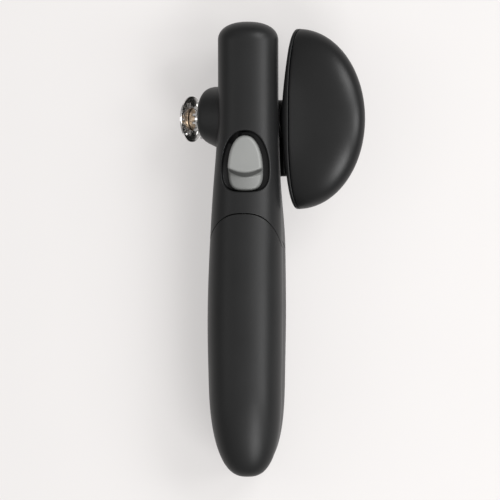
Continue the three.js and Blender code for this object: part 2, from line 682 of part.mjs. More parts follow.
function upperGrip() {
  const skin = upperSkin().intersect(gripRegion(GAP));
  return cut(skin, upperPockets());
}

// Everything that is cut out of the lower handle.
function lowerPockets() {
  return [
    placed(lowerFrameBlank(GAP, LOWER_FRAME_S - GAP, LOWER_FRAME_END_S + GAP)),
    mechBlock([LOWER_FRAME_S - GAP, PIVOT_Y - 22, 0], [LOWER_FRAME_END_S + GAP, PIVOT_Y, 30]),
    placed(pivotRoom()),
    placed(rod(PIVOT_RADIUS + GAP, PIVOT_PIN_S[0] - GAP, MECH_REACH, PIVOT_Y, PIVOT_T)),
    // Room above and left of the wheels, under the upper boss
    mechBlock([-MECH_REACH, -BOSS_RADIUS - 1.2, BOSS_PARTING_T - 0.8], [2.2, BOSS_RADIUS + 1.2, 40]),
    mechBlock([-MECH_REACH, -BOSS_RADIUS + 0.6, -40], [BOSS_FACE_S + 0.2, BOSS_RADIUS - 0.6, 40]),
    // Upper frame's eye and web as they turn
    mechBlock([UPPER_FRAME_S - SIDE_ROOM, 6, 1.2], [UPPER_FRAME_END_S + SIDE_ROOM, 50, 40]),
    // Drive shaft
    placed(rod(DRIVE_BEARING_RADIUS + GAP, -MECH_REACH, MECH_REACH)),
    // Latch hook and its catch pin
    mechBlock(
      [HOOK_S - HOOK_ROOM, HOOK_STEM[0] - 1.6, HOOK_LOW_T - 0.6],
      [HOOK_END_S + HOOK_ROOM, CATCH_Y + 2.4, MECH_REACH],
    ),
    placed(rod(CATCH_RADIUS + GAP, CATCH_PIN_S[0] - GAP, CATCH_PIN_S[1] + GAP, CATCH_Y, CATCH_T, 20)),
    ...FRAME_PINS_Y.map((y) => placed(framePin(LOWER_FRAME_S, y, TANG_HEIGHTS.lower, GAP))),
  ];
}

const CATCH_PIN_S = [LOWER_FRAME_S - 3, HOOK_END_S + 1];

// Round boss on the knob side, with a low web behind it.
function knobBoss() {
  const shape = new THREE.Shape();
  const [low, high] = BOSS_TAIL_T;
  const steps = 28;
  for (let i = 0; i < steps; i += 1) {
    const angle = (2 * Math.PI * i) / steps;
    const y = (BOSS_TAIL_LENGTH / 2) * (signedPower(Math.cos(angle), 0.45) - 1);
    const t = (low + high) / 2 + ((high - low) / 2) * signedPower(Math.sin(angle), 0.45);
    shape[i ? 'lineTo' : 'moveTo'](y, t);
  }
  shape.closePath();
  const web = placed(plate(shape, 4, KNOB_BOSS_END_S - 1));
  return join([placed(rod(KNOB_BOSS_RADIUS, 4, KNOB_BOSS_END_S, 0, 0, 36)), web]);
}

function lowerHousing() {
  const shell = cut(lowerSkin(), [gripRegion(0)]);
  return cut(join([shell, knobBoss()]), lowerPockets());
}

function lowerGrip() {
  return cut(lowerSkin().intersect(gripRegion(GAP)), lowerPockets());
}

// ---------------------------------------------------------------- wheels and gears

// Toothed outline about (0, shaftT); the first tooth points along angle.
function gearShape(shaftT, angle, teeth, root, outer, rootShare, tipShare) {
  const shape = new THREE.Shape();
  const pitch = (2 * Math.PI) / teeth;
  for (let i = 0; i < teeth; i += 1) {
    const middle = angle + i * pitch;
    const flanks = [[root, -rootShare], [outer, -tipShare], [outer, tipShare], [root, rootShare]];
    flanks.forEach(([radius, share], corner) => {
      const place = middle + share * pitch;
      const x = radius * Math.cos(place);
      const y = shaftT + radius * Math.sin(place);
      shape[i + corner ? 'lineTo' : 'moveTo'](x, y);
    });
  }
  shape.closePath();
  return shape;
}

const GEAR_ROOT = PITCH_RADIUS - 1.15 * MODULE;
const GEAR_OUTER = PITCH_RADIUS + 0.9 * MODULE;
const TOOTH_ROOT_SHARE = 0.31;
const TOOTH_TIP_SHARE = 0.1;

function gear(shaftT, angle, bore) {
  const outline = gearShape(shaftT, angle, TEETH, GEAR_ROOT, GEAR_OUTER, TOOTH_ROOT_SHARE, TOOTH_TIP_SHARE);
  const s1 = GEAR_OUTER_S + GEAR_WIDTH;
  return cut(plate(outline, GEAR_OUTER_S, s1), [rod(bore, GEAR_OUTER_S - 1, s1 + 1, 0, shaftT)]);
}

function feedWheel() {
  const outline = gearShape(0, 0, FEED_TEETH, FEED_RADIUS - 0.7, FEED_RADIUS, 0.42, 0.1);
  const s1 = FEED_OUTER_S + FEED_WIDTH;
  return cut(plate(outline, FEED_OUTER_S, s1), [rod(DRIVE_SHAFT_RADIUS + GAP, FEED_OUTER_S - 1, s1 + 1)]);
}

function cuttingWheel() {
  const bore = RIVET_RADIUS + GAP;
  return turned([
    [bore, CUTTER_INNER_S], [CUTTER_RADIUS - 2.4, CUTTER_INNER_S],
    [CUTTER_RADIUS, CUTTER_OUTER_S + 0.3], [CUTTER_RADIUS - 0.1, CUTTER_OUTER_S],
    [bore, CUTTER_OUTER_S], [bore, CUTTER_INNER_S],
  ], 0, SHAFT_SPACING, 48);
}

const RIVET_RADIUS = 1.3;
const SCREW_RADIUS = 1.5;

const SHAFT_END_S = KNOB_S + 9;

function driveShaft() {
  const hole = rod(SCREW_RADIUS + GAP, FEED_OUTER_S - 2, FEED_OUTER_S + 9, 0, 0, 20);
  return cut(rod(DRIVE_SHAFT_RADIUS, FEED_OUTER_S + 0.2, SHAFT_END_S), [hole, crossPin(GAP)]);
}

function feedScrew() {
  const head = FEED_OUTER_S - GAP;
  return turned([
    [0, head - 1.8], [2.6, head - 1.8], [3.3, head - 1.2], [3.3, head],
    [SCREW_RADIUS, head], [SCREW_RADIUS, FEED_OUTER_S + 8], [0, FEED_OUTER_S + 8],
  ], 0, 0, 24);
}

function cutterSpindle() {
  const body = turned([
    [0, CUTTER_INNER_S + GAP], [CUTTER_SHAFT_RADIUS, CUTTER_INNER_S + GAP],
    [CUTTER_SHAFT_RADIUS, SPINDLE_HEAD_S], [CUTTER_SHAFT_RADIUS + 1.6, SPINDLE_HEAD_S],
    [CUTTER_SHAFT_RADIUS + 1.6, SPINDLE_HEAD_S + 1.6], [0, SPINDLE_HEAD_S + 1.6],
  ], 0, SHAFT_SPACING);
  return cut(body, [rod(RIVET_RADIUS + GAP, CUTTER_INNER_S - 1, CUTTER_INNER_S + 7, 0, SHAFT_SPACING, 20)]);
}

function cutterRivet() {
  const head = CUTTER_OUTER_S - GAP;
  return turned([
    [0, head - 1.2], [2.4, head - 1.1], [3.5, head - 0.5], [3.5, head],
    [RIVET_RADIUS, head], [RIVET_RADIUS, CUTTER_INNER_S + 6], [0, CUTTER_INNER_S + 6],
  ], 0, SHAFT_SPACING, 24);
}

// ---------------------------------------------------------------- knob

// One outline across the knob at a place along its length: half an ellipse in front, a bevelled
// and slightly hollowed back behind. shrink draws it in for the inside of the dome.
function knobRing(y, shrink) {
  const length = KNOB_HALF_LENGTH - shrink;
  const along = Math.min(Math.abs(y) / length, 0.9995);
  const depth = (KNOB_DEPTH - shrink) * Math.sqrt(1 - along * along);
  const thick = (KNOB_HALF_THICKNESS - shrink) * (1 - along ** 2.6) ** (1 / 2.2);
  const back = KNOB_BACK * (1 - along ** 1.2) - 1.1 * along;
  const steps = 14;
  const ring = [];
  for (let i = 0; i <= steps; i += 1) {
    const angle = -Math.PI / 2 + (Math.PI * i) / steps;
    ring.push([Math.max(depth, 0.05) * Math.cos(angle), Math.max(thick, 0.05) * Math.sin(angle)]);
  }
  ring[steps][0] = 0;
  ring[0][0] = 0;
  ring.push([-0.6 * back - 0.01, thick * 0.95], [-back - 0.02, thick * 0.76]);
  ring.push([-back - 0.02, -thick * 0.76], [-0.6 * back - 0.01, -thick * 0.95]);
  return ring.map(([s, t]) => new THREE.Vector3(KNOB_S + s, y, t));
}

function knobSkin(shrink) {
  const length = KNOB_HALF_LENGTH - shrink;
  const rings = [];
  const steps = 20;
  for (let i = 0; i <= steps; i += 1) {
    rings.push(knobRing(-length * Math.cos((Math.PI * i) / steps), shrink));
  }
  return loft(rings);
}

const KNOB_HUB_RADIUS = 6.6;
const KNOB_HUB_END_S = KNOB_S + 13;
const CROSS_PIN_S = KNOB_S + 6;
const CROSS_PIN_RADIUS = 1.1;

// A pin across the knob's hub and the drive shaft, along Y.
function crossPin(grow) {
  const length = 2 * (KNOB_HUB_RADIUS + 1.2 + 4 * grow);
  const radius = CROSS_PIN_RADIUS + grow;
  return solid(new THREE.CylinderGeometry(radius, radius, length, 16).translate(CROSS_PIN_S, 0, 0));
}

function knobShell() {
  const split = KNOB_S + KNOB_SPLIT;
  const front = knobSkin(0).intersect(block([split, -90, -90], [200, 90, 90]));
  const hollow = knobSkin(KNOB_WALL).intersect(block([split - 1, -90, -90], [200, 90, 90]));
  return front.subtract(hollow);
}

function knobCore() {
  const split = KNOB_S + KNOB_SPLIT - GAP;
  const backPlate = knobSkin(0).intersect(block([-90, -90, -90], [split, 90, 90]));
  const hub = rod(KNOB_HUB_RADIUS, KNOB_S - 1, KNOB_HUB_END_S);
  const bore = rod(DRIVE_SHAFT_RADIUS + GAP, KNOB_BACK_S - 5, SHAFT_END_S + GAP);
  return cut(join([backPlate, hub]), [bore, crossPin(GAP)]);
}

// ---------------------------------------------------------------- the assembly

function mesh(name, body, material) {
  const node = new THREE.Mesh(geometryOf(body), material);
  node.name = name;
  return node;
}

const opener = new THREE.Group();
const mechanism = new THREE.Group();
mechanism.position.z = DRIVE_HEIGHT;
mechanism.rotation.y = -CANT;
opener.add(mechanism);

// Lower handle
opener.add(mesh('lower_housing', lowerHousing(), HARD_BLACK));
opener.add(mesh('lower_grip', lowerGrip(), SOFT_BLACK));
mechanism.add(mesh('lower_frame', lowerFrame(), DULL_STEEL));
mechanism.add(mesh(
  'drive_bearing',
  tube(DRIVE_BORE, DRIVE_BEARING_RADIUS, BOSS_FACE_S + 0.4, KNOB_BOSS_END_S - 0.1),
  BRONZE,
));
mechanism.add(mesh('pivot_pin', rod(PIVOT_RADIUS, ...PIVOT_PIN_S, PIVOT_Y, PIVOT_T), DULL_STEEL));
mechanism.add(mesh(
  'pivot_spacer',
  tube(PIVOT_BORE, PIVOT_EYE_RADIUS - 1, LOWER_FRAME_END_S + GAP, UPPER_FRAME_S - RUN, PIVOT_Y, PIVOT_T),
  DULL_STEEL,
));
mechanism.add(mesh('pivot_clip_left', pivotClip(LOWER_FRAME_S - GAP - CLIP_THICKNESS), DULL_STEEL));
mechanism.add(mesh('pivot_clip_right', pivotClip(UPPER_FRAME_END_S + RUN), DULL_STEEL));
mechanism.add(mesh('latch_catch_pin', rod(CATCH_RADIUS, ...CATCH_PIN_S, CATCH_Y, CATCH_T, 20), DULL_STEEL));
['front', 'rear'].forEach((place, i) => {
  const y = FRAME_PINS_Y[i];
  const lowerPin = framePin(LOWER_FRAME_S, y, TANG_HEIGHTS.lower, 0);
  const upperPin = framePin(UPPER_FRAME_S, y, TANG_HEIGHTS.upper, 0);
  mechanism.add(mesh(`lower_frame_pin_${place}`, lowerPin, DULL_STEEL));
  mechanism.add(mesh(`upper_frame_pin_${place}`, upperPin, DULL_STEEL));
});

// Upper handle
opener.add(mesh('upper_housing', upperHousing(), HARD_BLACK));
opener.add(mesh('upper_grip', upperGrip(), SOFT_BLACK));
mechanism.add(mesh('upper_frame', upperFrame(), DULL_STEEL));
mechanism.add(mesh(
  'cutter_bearing',
  tube(CUTTER_BORE, CUTTER_BEARING_RADIUS, BOSS_FACE_S + 0.1, SPINDLE_HEAD_S - RUN, 0, SHAFT_SPACING),
  BRONZE,
));

// Knob, drive shaft and feed wheel
mechanism.add(mesh('drive_shaft', driveShaft(), BRIGHT_STEEL));
// The cutter gear has a tooth pointing down at the drive gear, which has a gap there.
const driveGear = gear(0, Math.PI / 2 + Math.PI / TEETH, DRIVE_SHAFT_RADIUS + GAP);
mechanism.add(mesh('drive_gear', driveGear, BRIGHT_STEEL));
mechanism.add(mesh('feed_wheel', feedWheel(), BRIGHT_STEEL));
mechanism.add(mesh('feed_screw', feedScrew(), BRIGHT_STEEL));
mechanism.add(mesh(
  'drive_washer',
  tube(DRIVE_SHAFT_RADIUS + GAP, KNOB_BOSS_RADIUS - 0.6, KNOB_BOSS_END_S + RUN, KNOB_BACK_S - GAP - 0.1),
  DULL_STEEL,
));
mechanism.add(mesh('knob_core', knobCore(), HARD_BLACK));
mechanism.add(mesh('knob_cross_pin', crossPin(0), DULL_STEEL));
mechanism.add(mesh('knob_shell', knobShell(), KNOB_BLACK));

// Cutting wheel
mechanism.add(mesh('cutter_spindle', cutterSpindle(), BRIGHT_STEEL));
const cutterGear = gear(SHAFT_SPACING, -Math.PI / 2, CUTTER_SHAFT_RADIUS + GAP);
mechanism.add(mesh('cutter_gear', cutterGear, BRIGHT_STEEL));
const [spacerBore, spacerRadius] = [CUTTER_SHAFT_RADIUS + GAP, CUTTER_SHAFT_RADIUS + 2];
const spacerEnds = [CUTTER_INNER_S + GAP, GEAR_OUTER_S - GAP];
mechanism.add(mesh(
  'cutter_spacer',
  tube(spacerBore, spacerRadius, ...spacerEnds, 0, SHAFT_SPACING),
  BRONZE,
));
mechanism.add(mesh('cutting_wheel', cuttingWheel(), BRIGHT_STEEL));
mechanism.add(mesh('cutter_rivet', cutterRivet(), BRONZE));

// Lock
opener.add(mesh('lock_button', lockButton(), LOCK_GREY));
opener.add(mesh('lock_detent_spring', detentStrip(), BRIGHT_STEEL));
mechanism.add(mesh('latch_hook', latchHook(), DULL_STEEL));

export default opener;
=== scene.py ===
import math

import bmesh
import bpy
import numpy as np
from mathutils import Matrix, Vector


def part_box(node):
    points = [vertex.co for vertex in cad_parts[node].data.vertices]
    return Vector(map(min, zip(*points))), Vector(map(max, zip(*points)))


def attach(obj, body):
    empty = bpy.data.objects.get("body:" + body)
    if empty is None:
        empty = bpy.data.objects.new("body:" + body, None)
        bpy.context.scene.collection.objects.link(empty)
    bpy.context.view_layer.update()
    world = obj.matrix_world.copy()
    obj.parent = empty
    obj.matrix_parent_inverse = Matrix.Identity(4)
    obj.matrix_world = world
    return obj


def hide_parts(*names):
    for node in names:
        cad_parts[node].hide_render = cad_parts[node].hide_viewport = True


# Looks of the hand can opener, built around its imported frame. Shapes are worked out in millimetres
# and go into the meshes in metres. Product frame: +Y to the nose, +Z up, +X to the knob.
# Mechanism frame (s, y, t): s along the leaning shafts to the knob, t from drive to cutter shaft.

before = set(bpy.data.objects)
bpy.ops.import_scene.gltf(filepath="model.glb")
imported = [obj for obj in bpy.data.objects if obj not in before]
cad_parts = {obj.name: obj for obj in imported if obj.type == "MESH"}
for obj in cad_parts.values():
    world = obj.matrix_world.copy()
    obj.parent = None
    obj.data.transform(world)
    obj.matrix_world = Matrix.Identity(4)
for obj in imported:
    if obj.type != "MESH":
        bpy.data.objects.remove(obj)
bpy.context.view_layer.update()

MM = 0.001
CANT = math.radians(24)
DRIVE_HEIGHT = 15.4
SPACING = 15.0


def box_mm(node):
    """Lowest and highest corner of a frame node, in millimetres."""
    low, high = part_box(node)
    return np.array(low) / MM, np.array(high) / MM


button_low, button_high = box_mm("lock_button")

NOSE_Y = box_mm("upper_housing")[1][1]
GRIP_END_Y = box_mm("upper_grip")[0][1]
LOWER_NOSE_Y = box_mm("lower_housing")[1][1]
LOWER_REAR_Y = box_mm("lower_grip")[0][1]
HEAD_HALF = 12.55
LOWER_HEAD_INSET = 1.4
WEB_LENGTH, WEB_LOW, WEB_HIGH = 24.0, -7.8, 1.0
LOCK_X = (button_low[0] + button_high[0]) / 2
PAD_TOP, LEDGE_TOP = button_high[2], 42.2
GRIP_HALF = 15.8
GRIP_OFFSET = -1.5
HEAD_PARTING = 22.95
GRIP_PARTING = 20.6
HANDLE_GAP = 0.7


# ---------------------------------------------------------------- curves and grids

def smooth_curve(*knots):
    """A curve through (place, value) knots: a cubic between each two, whose slope at a knot is the
    slope between its neighbours, and level outside the first and last."""
    place, value = np.array(knots, float).T
    before = np.maximum(np.arange(len(place)) - 1, 0)
    after = np.minimum(np.arange(len(place)) + 1, len(place) - 1)
    slope = (value[after] - value[before]) / (place[after] - place[before])

    def curve(at):
        i = np.clip(np.searchsorted(place, at, side="right") - 1, 0, len(place) - 2)
        span = place[i + 1] - place[i]
        u = np.clip((at - place[i]) / span, 0, 1)
        rise = value[i + 1] - value[i]
        bend = span * u * (1 - u) * (slope[i] * (1 - u) - slope[i + 1] * u)
        return value[i] + rise * u * u * (3 - 2 * u) + bend

    return curve


def signed_power(value, power):
    """The sign of a value times its size to a power: it squares or softens a circle's sine and cosine."""
    return np.sign(value) * np.abs(value) ** power


def lean(s, y, t):
    """Points of the mechanism frame in the product frame: turned about Y by the cant and raised to
    the drive axis."""
    s, y, t = np.broadcast_arrays(s, y, t)
    across = s * math.cos(CANT) - t * math.sin(CANT)
    up = DRIVE_HEIGHT + s * math.sin(CANT) + t * math.cos(CANT)
    return np.stack([across, y, up], -1)


def quads(rows, columns, wrap_columns=True, wrap_rows=False):
    """Faces between neighbouring points of a grid that is kept row by row."""
    i = np.arange(rows if wrap_rows else rows - 1)[:, None]
    j = np.arange(columns if wrap_columns else columns - 1)[None, :]
    below = (i + 1) % rows
    beside = (j + 1) % columns
    corners = [i * columns + j, i * columns + beside, below * columns + beside, below * columns + j]
    return np.stack(np.broadcast_arrays(*corners), -1).reshape(-1, 4)


def rounded(corners, radii, steps=6):
    """A polyline of (a, b) corners with each inner corner turned into an arc: a quadratic curve that
    leaves the first side and joins the second at the corner's radius from it."""
    corners = np.array(corners, float)
    out = [corners[:1]]
    u = np.linspace(0, 1, steps)[:, None]
    for before, corner, after, radius in zip(corners, corners[1:], corners[2:], radii):
        start = corner + (before - corner) * min(radius / max(np.linalg.norm(before - corner), 1e-9), 0.5)
        end = corner + (after - corner) * min(radius / max(np.linalg.norm(after - corner), 1e-9), 0.5)
        arc = (1 - u) ** 2 * start + 2 * u * (1 - u) * corner + u * u * end
        out.append(arc if radius else corner[None])
    out.append(corners[-1:])
    return np.concatenate(out)


def piece(name, patches, body, replaced, slot, sharp=38):
    """One mesh object from patches of (points, faces): doubles merged, faces turned outwards and
    shaded smooth except across edges sharper than the angle."""
    mesh = bpy.data.meshes.new(name)
    points = np.concatenate([np.asarray(p, float).reshape(-1, 3) for p, _ in patches])
    starts = np.cumsum([0] + [np.asarray(p).size // 3 for p, _ in patches])
    faces = np.concatenate([f + start for (_, f), start in zip(patches, starts)])
    mesh.from_pydata((points * MM).tolist(), [], faces.tolist())
    work = bmesh.new()
    work.from_mesh(mesh)
    bmesh.ops.remove_doubles(work, verts=work.verts, dist=2e-6)
    bmesh.ops.dissolve_degenerate(work, edges=work.edges, dist=1e-7)
    bmesh.ops.recalc_face_normals(work, faces=work.faces)
    work.to_mesh(mesh)
    work.free()
    mesh.shade_smooth()
    mesh.set_sharp_from_angle(angle=math.radians(sharp))
    made = bpy.data.objects.new(name, mesh)
    bpy.context.scene.collection.objects.link(made)
    mesh.materials.append(FINISHES[slot])
    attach(made, body)
    if replaced:
        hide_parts(*replaced)
    return made


# ---------------------------------------------------------------- materials

class Signal:
    """A shader socket in arithmetic: an operator on it adds the Math node that does it."""

    def __init__(self, finish, socket):
        self.finish = finish
        self.socket = socket

    def maths(self, operation, first, second):
        return self.finish.node("ShaderNodeMath", {"operation": operation}, {0: first, 1: second})

    def __add__(self, other):
        return self.maths("ADD", self, other)

    __radd__ = __add__

    def __sub__(self, other):
        return self.maths("SUBTRACT", self, other)

    def __rsub__(self, other):
        return self.maths("SUBTRACT", other, self)

    def __mul__(self, other):
        return self.maths("MULTIPLY", self, other)

    __rmul__ = __mul__


class Finish:
    """A material under construction: a node tree and the one method that adds a node to it."""

    def __init__(self, name):
        self.material = bpy.data.materials.new(name)
        self.material.use_nodes = True
        self.tree = self.material.node_tree
        self.tree.nodes.clear()
        self.place = self.node("ShaderNodeTexCoord", out="Object")

    def node(self, kind, settings=None, sockets=None, out=0):
        made = self.tree.nodes.new(kind)
        for key, value in (settings or {}).items():
            setattr(made, key, value)
        for key, value in (sockets or {}).items():
            if isinstance(value, Signal):
                self.tree.links.new(value.socket, made.inputs[key])
            else:
                made.inputs[key].default_value = value
        return Signal(self, made.outputs[out]) if made.outputs else None

    def noise(self, size, detail=2.0, where=None):
        """Noise whose features are about size millimetres across, from 0 to 1."""
        sockets = {"Vector": where or self.place, "Scale": 1 / (size * MM), "Detail": detail}
        return self.node("ShaderNodeTexNoise", {"noise_dimensions": "3D"}, sockets)

    def ramp(self, value, low, high):
        """A value's climb from 0 at low to 1 at high, with soft ends."""
        sockets = {"Value": value, "From Min": low, "From Max": high}
        return self.node("ShaderNodeMapRange", {"interpolation_type": "SMOOTHSTEP"}, sockets)

    def blend(self, share, first, second):
        """The first colour turning into the second as share goes from 0 to 1."""
        sockets = {0: share, 6: first, 7: second}
        return self.node("ShaderNodeMix", {"data_type": "RGBA"}, sockets, out=2)

    def bump(self, height, depth, strength):
        """A surface's normal with relief of depth millimetres."""
        sockets = {"Height": height, "Distance": depth * MM, "Strength": strength}
        return self.node("ShaderNodeBump", None, sockets)

    def done(self, **sockets):
        """The finished material, from the main shader's sockets by their names with _ for a space."""
        named = {key.replace("_", " "): value for key, value in sockets.items()}
        shader = self.node("ShaderNodeBsdfPrincipled", None, named)
        self.node("ShaderNodeOutputMaterial", None, {"Surface": shader})
        return self.material


def grey(level, warmth=0.0):
    """A near-neutral colour: level in each channel, with the blue lowered by warmth."""
    return (level * (1 + warmth), level, level * (1 - warmth), 1.0)


BLACK_COOLNESS = 0.03


def moulding(name, level, roughness, pebble, relief, shine):
    """Black moulded plastic or rubber: a fine pebble grain in the surface, faint cloudy changes of
    shade and gloss, and a scatter of tiny rubbed specks."""
    finish = Finish(name)
    cloud = finish.noise(14, 3)
    grain = finish.noise(pebble, 2)
    speck = finish.ramp(finish.noise(pebble * 2.6, 1), 0.66, 0.78)
    shade = finish.blend(cloud, grey(level * 0.86, -BLACK_COOLNESS), grey(level * 1.16, -BLACK_COOLNESS))
    shade = finish.blend(speck * 0.3, shade, grey(level * 1.9))
    gloss = roughness - 0.05 + 0.1 * cloud + 0.07 * grain
    return finish.done(
        Base_Color=shade, Roughness=gloss, Normal=finish.bump(grain, relief, 0.5),
        Specular_IOR_Level=shine,
    )


def tint(level):
    """The lock's grey, a little green."""
    return (level * 0.985, level * 1.005, level * 0.975, 1.0)


def lock_grey():
    """Pale grey satin plastic with a faint moulded grain, with painted shade below the pad: darkest on the
    step below the pad, less on the ledge. The three parts are told apart by their height."""
    finish = Finish("lock_grey")
    cloud = finish.noise(9, 2)
    grain = finish.noise(0.28, 2)
    height = finish.node("ShaderNodeSeparateXYZ", None, {0: finish.place}, out=2)
    along = finish.node("ShaderNodeSeparateXYZ", None, {0: finish.place}, out=1)
    ledge_top, pad_edge = LEDGE_TOP * MM, PAD_TOP * MM
    # Painted shade: the height masks give the step below the pad its darkest colour and the ledge a darker
    # one than the pad.
    step = finish.ramp(height, ledge_top + 0.02 * MM, ledge_top + 0.5 * MM)
    pad_height_share = finish.ramp(height, pad_edge - 1.1 * MM, pad_edge - 0.1 * MM)
    ahead = finish.ramp(along, -21.6 * MM, -20.2 * MM)
    pad = finish.blend(cloud, tint(0.2), tint(0.228))
    shade = finish.blend(pad_height_share + ahead, finish.blend(step, tint(0.16), tint(0.06)), pad)
    return finish.done(
        Base_Color=shade, Roughness=0.4 + 0.08 * grain, Normal=finish.bump(grain, 0.006, 0.4),
    )


STEEL_WARMTH = 0.01
RING_PITCH = 0.55


def turned_steel(name, level, roughness, shaft_t):
    """Polished metal turned in a lathe: rings about the shaft, from noise read along the distance to
    the shaft's axis, in both gloss and relief, with a few fine stains."""
    finish = Finish(name)
    centre = lean(0.0, 0.0, shaft_t) * MM
    local = finish.node(
        "ShaderNodeMapping", {"vector_type": "TEXTURE"},
        {"Vector": finish.place, "Location": tuple(centre), "Rotation": (0, -CANT, 0)},
    )
    flat = finish.node("ShaderNodeVectorMath", {"operation": "MULTIPLY"}, {0: local, 1: (0, 1, 1)})
    radius = finish.node("ShaderNodeVectorMath", {"operation": "LENGTH"}, {0: flat}, out=1)
    ring = finish.node(
        "ShaderNodeTexNoise", {"noise_dimensions": "1D"},
        {"W": radius, "Scale": 1 / (RING_PITCH * MM), "Detail": 3.0},
    )
    stain = finish.noise(5, 4)
    clean, stained = grey(level, STEEL_WARMTH), grey(level * 0.74, STEEL_WARMTH + 0.03)
    shade = finish.blend(finish.ramp(stain, 0.45, 0.75), clean, stained)
    gloss = roughness + 0.16 * (ring - 0.5) + 0.1 * finish.ramp(stain, 0.5, 0.8)
    return finish.done(
        Base_Color=shade, Metallic=1.0, Roughness=gloss, Normal=finish.bump(ring, 0.012, 0.5),
    )


def stamped_steel():
    """Dull rolled sheet steel: long drawn streaks along the handle and a mottled, faintly brown haze."""
    finish = Finish("frame_steel")
    drawn_out = {0: finish.place, 1: (1, 0.04, 1)}
    stretched = finish.node("ShaderNodeVectorMath", {"operation": "MULTIPLY"}, drawn_out)
    streak = finish.noise(0.5, 3, stretched)
    haze = finish.ramp(finish.noise(7, 4), 0.4, 0.75)
    shade = finish.blend(haze, grey(0.42), grey(0.3, 0.06))
    gloss = 0.36 + 0.2 * streak + 0.1 * haze
    return finish.done(
        Base_Color=shade, Metallic=1.0, Roughness=gloss, Normal=finish.bump(streak, 0.008, 0.4),
    )


def bronze():
    """Sintered bronze: warm brown metal with fine open pores."""
    finish = Finish("bronze")
    pore = finish.ramp(finish.noise(0.22, 2), 0.3, 0.55)
    haze = finish.noise(4, 3)
    metal = finish.blend(haze, (0.56, 0.45, 0.34, 1), (0.46, 0.36, 0.26, 1))
    shade = finish.blend(pore, (0.2, 0.12, 0.06, 1), metal)
    return finish.done(
        Base_Color=shade, Metallic=1.0, Roughness=0.3 + 0.15 * haze, Normal=finish.bump(pore, 0.01, 0.4),
    )


def pale_floor():
    """A matt white light table, barely mottled: its own faint light lifts the shadows."""
    finish = Finish("pale_floor")
    cloud = finish.noise(60, 2)
    shade = finish.blend(cloud, (0.285, 0.278, 0.275, 1), (0.3, 0.292, 0.288, 1))
    return finish.done(
        Base_Color=shade, Roughness=0.75, Specular_IOR_Level=0.2,
        Emission_Color=(1.0, 0.975, 0.965, 1), Emission_Strength=0.47,
    )


FINISHES = {
    "soft_black": moulding("soft_black", 0.008, 0.38, 0.22, 0.014, 0.26),
    "hard_black": moulding("hard_black", 0.007, 0.34, 0.3, 0.008, 0.24),
    "knob_black": moulding("knob_black", 0.006, 0.33, 0.34, 0.008, 0.3),
    "lock_grey": lock_grey(),
    "bright_steel": turned_steel("bright_steel", 0.72, 0.2, 0.0),
    "cutter_steel": turned_steel("cutter_steel", 0.74, 0.16, SPACING),
    "frame_steel": stamped_steel(),
    "bronze": bronze(),
}


# ---------------------------------------------------------------- handles

half_width_at = smooth_curve(
    (GRIP_END_Y, GRIP_HALF - 1.2), (0.76 * GRIP_END_Y, GRIP_HALF - 0.5), (0.56 * GRIP_END_Y, GRIP_HALF),
    (0.4 * GRIP_END_Y, GRIP_HALF - 0.4), (-36, HEAD_HALF + 0.6 * (GRIP_HALF - HEAD_HALF)),
    (-6, HEAD_HALF + 0.08 * (GRIP_HALF - HEAD_HALF)), (8, HEAD_HALF), (NOSE_Y, HEAD_HALF),
)
lower_inset_at = smooth_curve(
    (GRIP_END_Y, 0), (0.36 * GRIP_END_Y, 0), (-WEB_LENGTH, LOWER_HEAD_INSET), (NOSE_Y, LOWER_HEAD_INSET),
)
offset_at = smooth_curve(
    (GRIP_END_Y, 0.4 * GRIP_OFFSET), (0.76 * GRIP_END_Y, GRIP_OFFSET), (0.5 * GRIP_END_Y, GRIP_OFFSET),
    (-36, 0.45 * GRIP_OFFSET), (-5, 0), (NOSE_Y, 0),
)
top_at = smooth_curve(
    (GRIP_END_Y, 39), (0.8 * GRIP_END_Y, 41.2), (0.5 * GRIP_END_Y, 42), (-20, 44.6), (NOSE_Y, 44.2),
)
shoulder_at = smooth_curve(
    (GRIP_END_Y, 28), (0.5 * GRIP_END_Y, 27.6), (-36, 32), (-8, 34.6), (NOSE_Y, 34.6),
)
parting_at = smooth_curve(
    (GRIP_END_Y, GRIP_PARTING), (0.42 * GRIP_END_Y, GRIP_PARTING),
    (-18, HEAD_PARTING), (NOSE_Y, HEAD_PARTING),
)

NOSE_ROUND = 8.0
REAR_ROUND = 39.6
TUCK = 0.045
DOME_STEPS = 120
EDGE_RADIUS = 0.8


class Half:
    """What differs between the two handles: ends, half width, section heights and squareness."""

    def __init__(self, nose, rear, wide, joint, shoulder, far, squareness):
        self.nose, self.rear, self.wide = nose, rear, wide
        self.joint, self.shoulder, self.far = joint, shoulder, far
        self.power = squareness


def nose_drop(y):
    """How far the lower handle's joint face falls ahead of the pivot, at 14 degrees."""
    return np.maximum(0, y - 25) * math.tan(math.radians(14))


UPPER = Half(
    NOSE_Y, GRIP_END_Y, half_width_at, lambda y: parting_at(y) + HANDLE_GAP / 2, shoulder_at, top_at, 2.15,
)
LOWER = Half(
    LOWER_NOSE_Y, LOWER_REAR_Y, lambda y: half_width_at(y) - lower_inset_at(y),
    lambda y: parting_at(y) - HANDLE_GAP / 2 - nose_drop(y), lambda y: 12 + 0 * y, lambda y: -0.8 + 0 * y,
    2.6,
)


def end_scale(y, tip, length, squareness):
    """1 along a handle, falling to 0 at its tip as a rounded square does: one minus the power of how
    far into the end a place is, all to the inverse power."""
    into = np.clip(1 - np.abs(tip - y) / length, 0, 0.99999)
    return (1 - into ** squareness) ** (1 / squareness)


